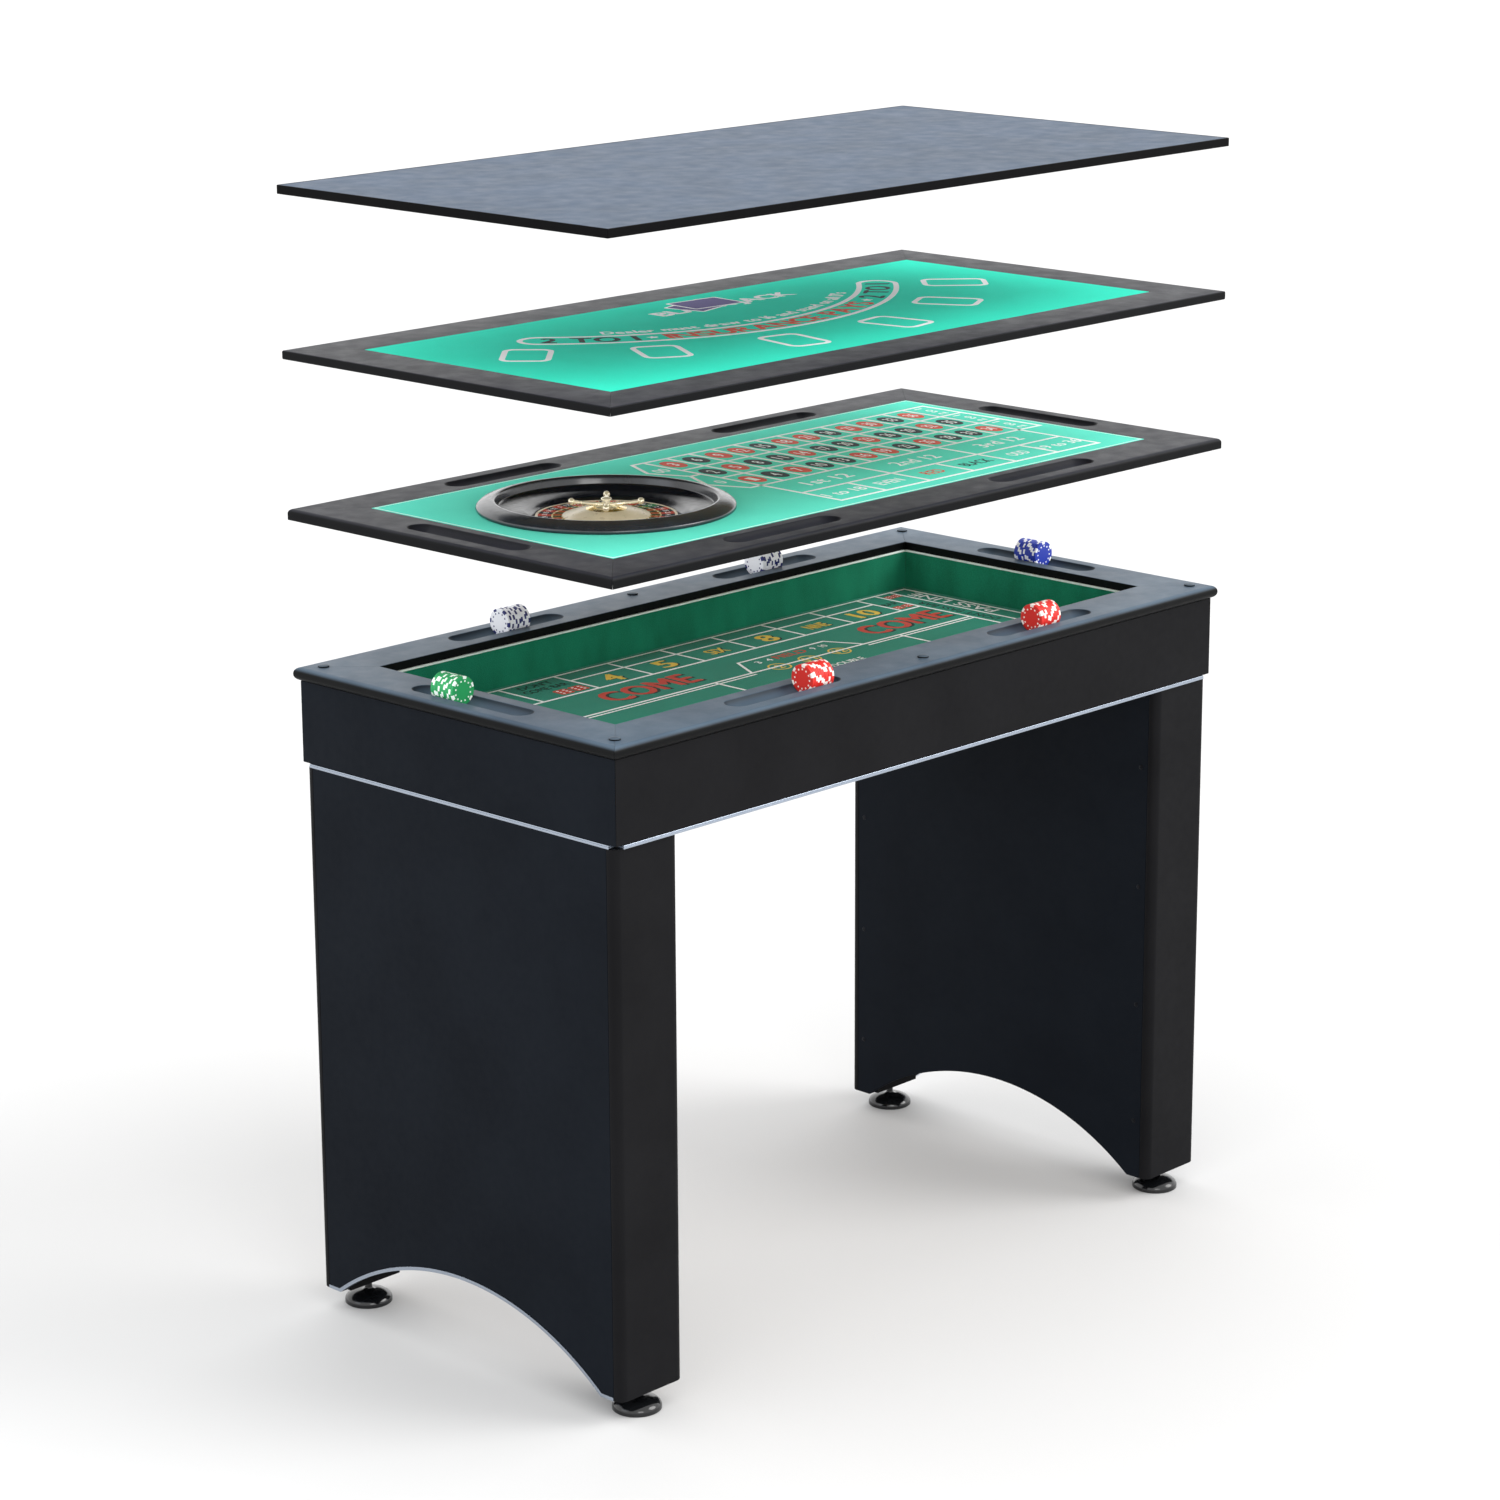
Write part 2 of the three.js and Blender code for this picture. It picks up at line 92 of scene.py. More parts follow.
def startMaterial(name, colour, roughness, sockets=()):
    material = bpy.data.materials.new(name)
    material.use_nodes = True
    tree = material.node_tree
    shader = tree.nodes["Principled BSDF"]
    shader.inputs["Base Color"].default_value = linearColour(colour)
    shader.inputs["Roughness"].default_value = roughness
    for socket, value in dict(sockets).items():
        shader.inputs[socket].default_value = value
    coords = addNode(tree, "TexCoord").outputs["Object"]
    return material, tree, shader, coords


def mixColours(tree, share, first, second):
    # first and second are hex text or a socket; share is a socket
    node = addNode(tree, "Mix", {"data_type": "RGBA"}, {0: share})
    for key, colour in ((6, first), (7, second)):
        if isinstance(colour, str):
            node.inputs[key].default_value = linearColour(colour)
        else:
            tree.links.new(colour, node.inputs[key])
    return node.outputs[2]


def noiseShare(tree, coords, sizeMm, low, high, detail=3.0, stretch=(1, 1, 1)):
    # fractal noise with blobs of sizeMm, spread between low and high onto 0 to 1
    placed = addNode(tree, "Mapping", {"Scale": stretch}, {"Vector": coords}).outputs[0]
    noise = addNode(tree, "TexNoise", {"Scale": 1000 / sizeMm, "Detail": detail}, {"Vector": placed})
    spread = addNode(tree, "MapRange", {1: low, 2: high}, {0: noise.outputs[0]})
    return spread.outputs[0]


def roughenBy(tree, shader, share, smooth, rough):
    spread = addNode(tree, "MapRange", {3: smooth, 4: rough}, {0: share})
    tree.links.new(spread.outputs[0], shader.inputs["Roughness"])


def raiseBy(tree, shader, share, heightMm, strength=1.0):
    bump = addNode(tree, "Bump", {"Strength": strength, "Distance": heightMm * millimetre}, {"Height": share})
    tree.links.new(bump.outputs[0], shader.inputs["Normal"])


def roundEdges(bm, edges, radius, segments=3):
    bmesh.ops.bevel(bm, geom=list(edges), offset=radius, offset_type="OFFSET", affect="EDGES",
                    segments=segments, profile=0.5, material=-1, clamp_overlap=True)


def boxShape(low, high, edge=0.0, segments=2):
    bm = bmesh.new()
    low, high = Vector(low), Vector(high)
    place = Matrix.Translation((low + high) / 2) @ Matrix.Diagonal((*(high - low), 1))
    bmesh.ops.create_cube(bm, size=1, matrix=place)
    if edge:
        roundEdges(bm, bm.edges, edge, segments)
    return bm


def arcPoints(centre, radius, start, end, steps):
    angles = [math.radians(start + (end - start) * i / steps) for i in range(steps + 1)]
    return [(centre[0] + radius * math.cos(a), centre[1] + radius * math.sin(a)) for a in angles]


def turnedShape(profile, steps, edge=0.0, segments=3, sharp=20):
    # a closed profile of (radius, height) points spun about Z, its sharp rings rounded by edge
    bm = bmesh.new()
    verts = [bm.verts.new((radius, 0, height)) for radius, height in profile]
    edges = [bm.edges.new(pair) for pair in zip(verts, verts[1:])]
    bmesh.ops.spin(bm, geom=verts + edges, cent=(0, 0, 0), axis=(0, 0, 1), angle=math.tau,
                   steps=steps, use_merge=True)
    bmesh.ops.remove_doubles(bm, verts=bm.verts, dist=1e-6)
    bmesh.ops.recalc_face_normals(bm, faces=bm.faces)
    if edge:
        bm.normal_update()
        rings = [e for e in bm.edges
                 if abs(e.verts[0].co.z - e.verts[1].co.z) < 1e-5
                 and abs(e.verts[0].co.xy.length - e.verts[1].co.xy.length) < 1e-5
                 and e.calc_face_angle(0) > math.radians(sharp)]
        roundEdges(bm, rings, edge, segments)
    return bm


def plateShape(outline, across, low, high, edge=0.0):
    # an outline in the plane square to one axis ("x" or "z"), made solid from low to high along it
    bm = bmesh.new()
    if across == "x":
        verts = [bm.verts.new((low, a, b)) for a, b in outline]
        push = (high - low, 0, 0)
    else:
        verts = [bm.verts.new((a, b, low)) for a, b in outline]
        push = (0, 0, high - low)
    face = bm.faces.new(verts)
    made = bmesh.ops.extrude_face_region(bm, geom=[face])["geom"]
    bmesh.ops.translate(bm, vec=push, verts=[v for v in made if isinstance(v, bmesh.types.BMVert)])
    bmesh.ops.recalc_face_normals(bm, faces=bm.faces)
    if edge:
        bm.normal_update()
        sharpEdges = [e for e in bm.edges if e.calc_face_angle(0) > math.radians(40)]
        roundEdges(bm, sharpEdges, edge, 2)
    return bm


def ringShape(low, high, width, edge=0.0):
    # a rectangular ring, mitred, with its outer corners at low and high
    bm = bmesh.new()
    centre = Matrix.Translation(((low[0] + high[0]) / 2, (low[1] + high[1]) / 2, low[2]))
    size = Matrix.Diagonal(((high[0] - low[0]) / 2, (high[1] - low[1]) / 2, 1, 1))
    bmesh.ops.create_grid(bm, x_segments=1, y_segments=1, size=1, matrix=centre @ size)
    middle = bm.faces[:]
    ring = bmesh.ops.inset_region(bm, faces=middle, thickness=width, use_even_offset=True, use_boundary=True)
    bmesh.ops.delete(bm, geom=[f for f in bm.faces if f not in ring["faces"]], context="FACES")
    made = bmesh.ops.extrude_face_region(bm, geom=bm.faces[:])["geom"]
    risen = [v for v in made if isinstance(v, bmesh.types.BMVert)]
    bmesh.ops.translate(bm, vec=(0, 0, high[2] - low[2]), verts=risen)
    bmesh.ops.recalc_face_normals(bm, faces=bm.faces)
    if edge:
        bm.normal_update()
        roundEdges(bm, [e for e in bm.edges if e.calc_face_angle(0) > math.radians(40)], edge, 3)
    return bm


def gather(shapes):
    # several loose shapes as one piece
    whole = bmesh.new()
    for shape in shapes:
        mesh = bpy.data.meshes.new("part")
        shape.to_mesh(mesh)
        shape.free()
        whole.from_mesh(mesh)
        bpy.data.meshes.remove(mesh)
    return whole


def addPiece(name, bm, body, material, replaced=(), smoothAngle=32):
    if bm.calc_volume(signed=True) < 0:
        bmesh.ops.reverse_faces(bm, faces=bm.faces)
    mesh = bpy.data.meshes.new(name)
    bm.to_mesh(mesh)
    bm.free()
    mesh.materials.append(material)
    mesh.polygons.foreach_set("use_smooth", [True] * len(mesh.polygons))
    mesh.set_sharp_from_angle(angle=math.radians(smoothAngle))
    piece = bpy.data.objects.new(name, mesh)
    scene.collection.objects.link(piece)
    even = piece.modifiers.new("evenNormals", "WEIGHTED_NORMAL")
    even.keep_sharp = True
    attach(piece, body)
    if replaced:
        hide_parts(*replaced)
    return piece


def dressNode(node, material):
    slot = frame["nodes"][node].material_slots[0]
    slot.link = "OBJECT"
    slot.material = material


# camera, floor and light
cameraPlace = {"lens": 99.4, "place": (-4.063, -3.829, 2.249), "yaw": 46.36, "pitch": 15.18, "roll": -0.26}


def setCamera(size):
    data = bpy.data.cameras.new("camera")
    data.lens = size["lens"]
    data.sensor_width = 36
    data.clip_end = 200
    camera = bpy.data.objects.new("camera", data)
    scene.collection.objects.link(camera)
    turn = Matrix.Rotation(math.radians(-size["yaw"]), 4, "Z")
    tilt = Matrix.Rotation(math.radians(90 - size["pitch"]), 4, "X")
    roll = Matrix.Rotation(math.radians(size["roll"]), 4, "Z")
    camera.matrix_world = Matrix.Translation(size["place"]) @ turn @ tilt @ roll
    scene.camera = camera


studio = {
    "floorSize": 120, "floorColour": "c6c6c6",
    "worldColour": (1.0, 1.0, 1.0), "worldStrength": 1.6,
    # a sheet of diffusion overhead on the right, far enough off to act as a soft sun
    "sheet": {"place": (2.9, -3.0, 4.0), "strength": 1.6, "angle": 32, "colour": (1.0, 0.99, 0.98)},
    # name: place, size across, power in watts, colour
    "softboxes": {
        "frontLow": ((-2.6, -4.4, 2.3), 2.0, 60, (1.0, 0.99, 0.98)),
        "coolSide": ((-4.2, 1.0, 2.2), 2.0, 14, (0.80, 0.88, 1.0)),
    },
    "aim": (0, 0, 1.0),
}


def setStudio(size):
    bm = bmesh.new()
    bmesh.ops.create_grid(bm, x_segments=2, y_segments=2, size=size["floorSize"] / 2)
    mesh = bpy.data.meshes.new("studio_floor")
    bm.to_mesh(mesh)
    bm.free()
    # matt painted studio floor, rolled: a faint orange-peel texture
    paint, tree, shader, coords = startMaterial("matt_studio_paint", size["floorColour"], 0.75)
    raiseBy(tree, shader, noiseShare(tree, coords, 4, 0.3, 0.7), 0.05)
    mesh.materials.append(paint)
    floor = bpy.data.objects.new("studio_floor", mesh)
    scene.collection.objects.link(floor)
    world = bpy.data.worlds.new("studio")
    world.use_nodes = True
    background = world.node_tree.nodes["Background"]
    background.inputs["Color"].default_value = (*size["worldColour"], 1)
    background.inputs["Strength"].default_value = size["worldStrength"]
    scene.world = world
    scene.view_settings.view_transform = "Standard"
    lamps = []
    for name, (place, across, power, colour) in size["softboxes"].items():
        data = bpy.data.lights.new(name, "AREA")
        data.shape = "SQUARE"
        data.size = across
        lamps.append((data, place, power, colour))
    sheet = size["sheet"]
    data = bpy.data.lights.new("sheet", "SUN")
    data.angle = math.radians(sheet["angle"])
    lamps.append((data, sheet["place"], sheet["strength"], sheet["colour"]))
    for data, place, power, colour in lamps:
        data.energy = power
        data.color = colour
        lamp = bpy.data.objects.new(data.name, data)
        scene.collection.objects.link(lamp)
        lamp.location = place
        aim = Vector(size["aim"]) - Vector(place)
        lamp.rotation_euler = aim.to_track_quat("-Z", "Y").to_euler()


setCamera(cameraPlace)
setStudio(studio)
print("camera, floor and light set")


# finishes
def laminateFinish(name, litTopColours, shadedEdgeColour, smooth, rough, specular, grainMm):
    # melamine-faced board, hot pressed: satin with a fine stipple. The tone is painted by how level the surface is:
    # level faces get a painted highlight, paler as if lit, and rounded edges and upright faces get a painted shade.
    material, tree, shader, coords = startMaterial(name, shadedEdgeColour, rough,
                                                   {"Specular IOR Level": specular, "IOR": 1.5})
    level = addNode(tree, "TexCoord").outputs["Normal"]
    upward = addNode(tree, "SeparateXYZ", links={0: level}).outputs[2]
    litShare = addNode(tree, "MapRange", {1: 0.35, 2: 0.97, "interpolation_type": "SMOOTHSTEP"}, {0: upward})
    cloudy = noiseShare(tree, coords, 90, 0.35, 0.65, 4)
    litTone = mixColours(tree, cloudy, litTopColours[0], litTopColours[1])
    # painted light: upward faces take the pale lit tone, the rest the dark shaded edge tone
    tree.links.new(mixColours(tree, litShare.outputs[0], shadedEdgeColour, litTone), shader.inputs["Base Color"])
    # a press plate's stipple is about 0.4 mm; drawn at grainMm so that it shows
    stipple = noiseShare(tree, coords, grainMm, 0.35, 0.65, 2)
    roughenBy(tree, shader, noiseShare(tree, coords, 25, 0.3, 0.7), smooth, rough)
    raiseBy(tree, shader, stipple, 0.04)
    return material


def wrappedBoardFinish(name, colour, tint):
    # vinyl-wrapped board, rolled on: a faint leather-like grain and slow changes of tone
    material, tree, shader, coords = startMaterial(name, colour, 0.5, {"Specular IOR Level": 0.06})
    slow = noiseShare(tree, coords, 140, 0.35, 0.65, 4)
    tree.links.new(mixColours(tree, slow, colour, tint), shader.inputs["Base Color"])
    cells = addNode(tree, "TexVoronoi", {"Scale": 1000 / 2.2, "feature": "SMOOTH_F1"}, {"Vector": coords})
    roughenBy(tree, shader, noiseShare(tree, coords, 12, 0.3, 0.7), 0.44, 0.56)
    raiseBy(tree, shader, cells.outputs[0], 0.06, 0.6)
    return material


def baizeFinish(name, colour, dark, pale, blotchMm, streak=(1, 1, 1), sheen=0.08):
    # wool-mix baize, napped: no gloss, short fuzz that goes lighter and darker with the nap
    material, tree, shader, coords = startMaterial(name, colour, 0.95, {
        "Specular IOR Level": 0.06, "Sheen Weight": sheen, "Sheen Roughness": 0.45})
    blotch = noiseShare(tree, coords, blotchMm, 0.3, 0.7, 6, streak)
    # fibres are 0.02 mm thick; the nap is drawn in tufts of 1.6 mm so that it shows
    tuft = noiseShare(tree, coords, 1.6, 0.3, 0.7, 4)
    nap = mixColours(tree, tuft, dark, pale)
    soft = addNode(tree, "Mix", {"data_type": "RGBA", 0: 0.5, 7: linearColour(colour)}, {6: nap})
    patch = mixColours(tree, blotch, dark, colour)
    both = addNode(tree, "Mix", {"data_type": "RGBA", 0: 0.5}, {6: soft.outputs[2], 7: patch})
    tree.links.new(both.outputs[2], shader.inputs["Base Color"])
    raiseBy(tree, shader, tuft, 0.25, 0.8)
    return material


def inkFinish(name, colour, worn):
    # screen ink on baize: matt, with the nap showing through it in pinholes
    material, tree, shader, coords = startMaterial(name, colour, 0.7, {"Specular IOR Level": 0.25})
    pinholes = noiseShare(tree, coords, 1.2, 0.64, 0.8, 3)
    tree.links.new(mixColours(tree, pinholes, colour, worn), shader.inputs["Base Color"])
    raiseBy(tree, shader, noiseShare(tree, coords, 1.2, 0.3, 0.7), 0.1, 0.5)
    return material


def metalFinish(name, colour, smooth, rough, lineMm, along):
    # drawn metal strip, brushed along its length: fine lines that spread the highlight across them
    material, tree, shader, coords = startMaterial(name, colour, rough, {"Metallic": 1.0})
    lines = noiseShare(tree, coords, lineMm, 0.3, 0.7, 3, along)
    roughenBy(tree, shader, lines, smooth, rough)
    raiseBy(tree, shader, lines, 0.01, 0.4)
    return material


def mouldedFinish(name, colour, tint, smooth, rough, grainMm=1.5, depthMm=0.02, sockets=()):
    # injection-moulded plastic: even, with a slight ripple from the tool
    material, tree, shader, coords = startMaterial(name, colour, rough, sockets)
    slow = noiseShare(tree, coords, 30, 0.35, 0.65)
    tree.links.new(mixColours(tree, slow, colour, tint), shader.inputs["Base Color"])
    roughenBy(tree, shader, noiseShare(tree, coords, 8, 0.3, 0.7), smooth, rough)
    raiseBy(tree, shader, noiseShare(tree, coords, grainMm, 0.3, 0.7), depthMm, 0.5)
    return material


def rawBoardFinish(name, colour, dark, pale):
    # medium-density fibreboard, sanded: short fibres, no gloss
    material, tree, shader, coords = startMaterial(name, colour, 0.85, {"Specular IOR Level": 0.1})
    fibres = noiseShare(tree, coords, 3, 0.3, 0.7, 5, (1, 0.3, 1))
    tree.links.new(mixColours(tree, fibres, dark, pale), shader.inputs["Base Color"])
    raiseBy(tree, shader, fibres, 0.1, 0.6)
    return material


def chipFinish(name, body, mark):
    # clay-composite chip, pressed: matt with moulded-in edge marks, read from the piece's own attribute
    material, tree, shader, coords = startMaterial(name, body, 0.5, {"Specular IOR Level": 0.4})
    marked = addNode(tree, "Attribute", {"attribute_name": "inlay"}).outputs["Fac"]
    speckle = noiseShare(tree, coords, 1.5, 0.3, 0.75, 3)
    plain = mixColours(tree, speckle, body, body)
    tree.links.new(mixColours(tree, marked, plain, mark), shader.inputs["Base Color"])
    roughenBy(tree, shader, speckle, 0.42, 0.6)
    raiseBy(tree, shader, speckle, 0.05, 0.5)
    return material


# rail, board frames and dining top: a pair of painted lit top tones and a painted shaded edge tone
railLaminate = laminateFinish("satin_melamine_rail", ("4a5968", "546473"), "050607", 0.36, 0.46, 0.09, 1.6)
boardLaminate = laminateFinish("satin_melamine_board", ("25262c", "2b2c33"), "08090b", 0.4, 0.5, 0.08, 1.6)
diningLaminate = laminateFinish("satin_melamine_dining", ("24394f", "2a4058"), "060708", 0.38, 0.46, 0.08, 2.0)
edgeBand = mouldedFinish("abs_edge_band", "030304", "050506", 0.4, 0.5, 1.2, 0.02, {"Specular IOR Level": 0.05})
wrappedPanel = wrappedBoardFinish("vinyl_wrapped_panel", "0f0f11", "131315")
# painted shade: a darker, bluer copy of the same vinyl for the faces turned to the ends, which stand in cool shade
shadedEndVinyl = wrappedBoardFinish("vinyl_wrapped_shaded_end", "090e15", "0d1219")
rawBoard = rawBoardFinish("sanded_fibreboard", "b08c60", "9c784e", "c09c70")
# the leg beams and foot blocks: fibreboard drawn near-black
nearBlackBlock = rawBoardFinish("near_black_fibreboard", "0e0e10", "0a0a0b", "141416")
crapsBaize = baizeFinish("green_wool_baize", "1c8c74", "187c64", "269c84", 60)
wallBaize = baizeFinish("green_wall_baize", "1c8262", "0e5640", "289470", 45, (1, 1, 0.45))
rouletteBaize = baizeFinish("aqua_wool_baize", "64ecd2", "58e2c8", "70f4da", 80, sheen=0.02)
blackjackBaize = baizeFinish("turquoise_wool_baize", "30eccb", "28e4c0", "3cf4d6", 80, sheen=0.02)
whiteInk = inkFinish("white_screen_ink", "fbfefd", "cce8e0")
redInk = inkFinish("red_screen_ink", "e2523c", "b84a36")
blackInk = inkFinish("black_screen_ink", "16262a", "24504a")
yellowInk = inkFinish("yellow_screen_ink", "e8c850", "a8a850")
deepRedInk = inkFinish("deep_red_screen_ink", "c8402c", "803828")
shadowInk = inkFinish("shadow_screen_ink", "08281f", "0c3a2c")
violetInk = inkFinish("violet_screen_ink", "5a4f8e", "4c6f90")
brightTrim = metalFinish("brushed_aluminium_trim", "a4adba", 0.16, 0.3, 1.2, (0.05, 0.05, 1))
# the caps too get a painted lit top tone and a painted shaded edge tone
capRubber = laminateFinish("moulded_rubber", ("48545f", "4e5a66"), "050607", 0.35, 0.5, 0.1, 1.5)
footPlastic = mouldedFinish("gloss_abs_foot", "0b0c0e", "101113", 0.1, 0.2, 6, 0.02)
wheelPlastic = mouldedFinish("gloss_abs_bowl", "1e2127", "262a31", 0.16, 0.26, 12, 0.03,
                             {"Specular IOR Level": 0.6})
trackPlastic = mouldedFinish("gloss_abs_ball_track", "0d1018", "12151e", 0.12, 0.2, 12, 0.03)
headPlastic = mouldedFinish("ivory_abs", "e8dcc0", "ddd0b0", 0.25, 0.38)
fretMetal = mouldedFinish("plated_frets", "d8c890", "c8b880", 0.2, 0.3, 1.0, 0.01, {"Metallic": 1.0})
goldPlate = mouldedFinish("gold_plated_zinc", "f0dca8", "e4cc90", 0.18, 0.3, 3, 0.01, {"Metallic": 1.0})
paleGold = mouldedFinish("pale_gold_plated_zinc", "fbf4dc", "f0e6c6", 0.2, 0.3, 3, 0.01, {"Metallic": 0.6})
beadPlastic = mouldedFinish("white_pvc_bead", "e8f4ee", "dceae4", 0.3, 0.42)
screwMetal = mouldedFinish("black_zinc_screw", "26272b", "1e1f22", 0.3, 0.45, 1.0, 0.02, {"Metallic": 1.0})
print("finishes made:", len(bpy.data.materials))


# mitred bars: the rail and the board frames
sides = {
    "front": {"turn": 0, "along": 0, "out": 1},
    "right": {"turn": 90, "along": 1, "out": 0},
    "back": {"turn": 180, "along": 0, "out": 1},
    "left": {"turn": -90, "along": 1, "out": 0},
}


def pressTrough(bm, size, length, x, y, z):
    # a round-ended trough let into a level face: its lip, then its round bottom, as one inset after another
    half = size["width"] / 2
    radius = (half * half + size["depth"] ** 2) / (2 * size["depth"])
    wall = math.asin(half / radius)
    steps, corners = 9, 56
    lip = size["lip"]
    lipSteps = [(lip * math.sin(wall * i / 4), lip * (1 - math.cos(wall * i / 4))) for i in range(1, 5)]
    lipIn, lipDown = lipSteps[-1]
    bottom = []
    for i in range(1, steps):
        angle = wall * (1 - i / steps)
        inward = half - radius * math.sin(angle)
        bottom.append((lipIn + inward, lipDown + radius * math.cos(angle) - (radius - size["depth"])))
    turn = Matrix.Rotation(math.pi / corners, 4, "Z")
    rim = bmesh.ops.create_circle(bm, cap_ends=True, segments=corners, radius=half + lipIn, matrix=turn)["verts"]
    for vert in rim:
        vert.co.x += math.copysign(length / 2 - half, vert.co.x)
    bmesh.ops.translate(bm, vec=(x, y, z), verts=rim)
    face = rim[0].link_faces[0]
    face.normal_update()
    if face.normal.z < 0:
        face.normal_flip()
    was = (0, 0)
    for inward, down in lipSteps + bottom:
        bmesh.ops.inset_region(bm, faces=[face], thickness=inward - was[0], depth=was[1] - down,
                               use_even_offset=True, use_boundary=True)
        was = (inward, down)


def barShape(node, side, rounds, troughs=None):
    facts = sides[side]
    low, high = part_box(node)
    halfAlong = high[facts["along"]]
    halfOut = max(-low[facts["out"]], high[facts["out"]])
    width = high[facts["out"]] - low[facts["out"]]
    bm = boxShape((-halfAlong, -halfOut, low.z), (halfAlong, width - halfOut, high.z))
    for place, (radius, segments) in rounds.items():
        y = -halfOut if "outer" in place else width - halfOut
        z = high.z if "top" in place else low.z
        longEdges = [e for e in bm.edges
                     if all(abs(v.co.y - y) < 1e-5 and abs(v.co.z - z) < 1e-5 for v in e.verts)]
        roundEdges(bm, longEdges, radius, segments)
    for end in (-1, 1):
        cut = Vector((end, 1, 0)).normalized()
        bmesh.ops.bisect_plane(bm, geom=bm.verts[:] + bm.edges[:] + bm.faces[:],
                               plane_co=(end * halfAlong, -halfOut, 0), plane_no=cut, clear_outer=True)
        bmesh.ops.holes_fill(bm, edges=[e for e in bm.edges if e.is_boundary], sides=0)
        bm.normal_update()
        cap = max(bm.faces, key=lambda f: f.normal.dot(cut))
        roundEdges(bm, cap.edges, 0.35 * millimetre, 1)   # the eased arris that makes the mitre line
    if troughs:
        bm.normal_update()
        top = max((f for f in bm.faces if f.normal.z > 0.99), key=lambda f: f.calc_area())
        bmesh.ops.delete(bm, geom=[top], context="FACES_ONLY")
        length, centres = troughs["sides"][side]
        for centre in centres:
            pressTrough(bm, troughs, length, centre, troughs["inset"] - halfOut, high.z)
        bmesh.ops.triangle_fill(bm, use_beauty=True, edges=[e for e in bm.edges if e.is_boundary])
    bmesh.ops.recalc_face_normals(bm, faces=bm.faces)
    turn = Matrix.Rotation(math.radians(facts["turn"]), 3, "Z")
    bmesh.ops.rotate(bm, cent=(0, 0, 0), matrix=turn, verts=bm.verts)
    return bm


# each side as it is drawn, from the front: trough length, and the middles along the bar
troughSides = {
    "front": (0.205, (-0.26, 0.26)), "back": (0.205, (-0.26, 0.26)),
    "left": (0.215, (0,)), "right": (0.215, (0,)),
}
railBars = {
    "rounds": {"outer top": (0.0086, 8), "outer bottom": (0.0086, 8), "inner top": (0.0012, 3)},
    "troughs": {"width": 0.036, "depth": 0.0105, "lip": 0.0015, "inset": 0.043, "sides": troughSides},
}
rouletteBars = {
    "rounds": {"outer top": (0.006, 6), "outer bottom": (0.001, 2), "inner top": (0.0008, 2)},
    "troughs": {"width": 0.036, "depth": 0.0095, "lip": 0.0025, "inset": 0.043, "sides": troughSides},
}
blackjackBars = {
    "rounds": {"outer top": (0.002, 4), "outer bottom": (0.002, 4), "inner top": (0.0006, 2)},
    "troughs": None,
}
for side in sides:
    shape = barShape(f"rail_{side}", side, **railBars)
    addPiece(f"rail_board_{side}", shape, "table", railLaminate, [f"rail_{side}"])
    shape = barShape(f"roulette_frame_{side}", side, **rouletteBars)
    addPiece(f"roulette_board_{side}", shape, "roulette_board", boardLaminate,
             [f"roulette_frame_{side}"])
    shape = barShape(f"blackjack_frame_{side}", side, **blackjackBars)
    addPiece(f"blackjack_board_{side}", shape, "blackjack_board", boardLaminate,
             [f"blackjack_frame_{side}"])
print("rail and board frames made")

# rubber caps over the rail's screws
capDome = {"edge": 0.35, "steps": 48}
for face in ("front", "back"):
    for end in ("left", "middle", "right"):
        node = f"cap_{face}_{end}"
        low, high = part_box(node)
        radius, height = (high.x - low.x) / 2, high.z - low.z
        rise = height * (1 - capDome["edge"])
        dome = [(radius * math.cos(a), height - rise + rise * math.sin(a))
                for a in (math.radians(9 * i) for i in range(11))]
        shape = turnedShape([(0, 0), (radius, 0), *dome], capDome["steps"], 0.0003, 2, 60)
        bmesh.ops.translate(shape, vec=((low.x + high.x) / 2, (low.y + high.y) / 2, low.z), verts=shape.verts)
        addPiece(f"rail_{node}", shape, "table", capRubber, [node])

# aprons, strips and the well
stripBead = {"groove": 0.0004, "grooveDeep": 0.0006, "beadShare": 0.36, "edge": 0.0006}


def stripShape(low, high, out):
    # a drawn trim: a small bead above a flat flange, with a fine groove between them
    split = high.z - (high.z - low.z) * stripBead["beadShare"]
    bead = boxShape((low.x, low.y, split), high, stripBead["edge"], 3)
    flange = boxShape(low, (high.x, high.y, split - stripBead["groove"]), stripBead["edge"] / 2, 2)
    inset = Vector((0, 0, 0.0005))
    inset[out] = stripBead["grooveDeep"]
    inset[1 - out] = 0.001
    return gather([bead, flange, boxShape(low + inset, high - inset)])


apronEdge = {"front": 0.0008, "back": 0.0008, "left": 0.0008, "right": 0.0008}
for side, edge in apronEdge.items():
    eased = {"outer top": (edge, 2), "outer bottom": (edge, 2)}
    # the end aprons take the painted-shade copy of the vinyl
    finish = wrappedPanel if sides[side]["along"] == 0 else shadedEndVinyl
    addPiece(f"apron_board_{side}", barShape(f"apron_{side}", side, eased), "table", finish,
             [f"apron_{side}"])
    low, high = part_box(f"strip_{side}")
    addPiece(f"strip_bar_{side}", stripShape(low, high, sides[side]["out"]), "table", brightTrim,
             [f"strip_{side}"])
    dressNode(f"well_wall_{side}", wallBaize)
dressNode("craps_bed", rawBoard)

wellBead = {"width": 0.0048, "height": 0.0026, "edge": 0.001, "gap": 0.0003}
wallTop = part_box("well_wall_front")[1].z
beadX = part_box("rail_right")[0].x - wellBead["gap"]     # just inside the rail's inner faces
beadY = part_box("rail_back")[0].y - wellBead["gap"]
shape = ringShape((-beadX, -beadY, wallTop), (beadX, beadY, wallTop + wellBead["height"]),
                  wellBead["width"], wellBead["edge"])
addPiece("well_bead", shape, "table", beadPlastic)
print("aprons and well made")

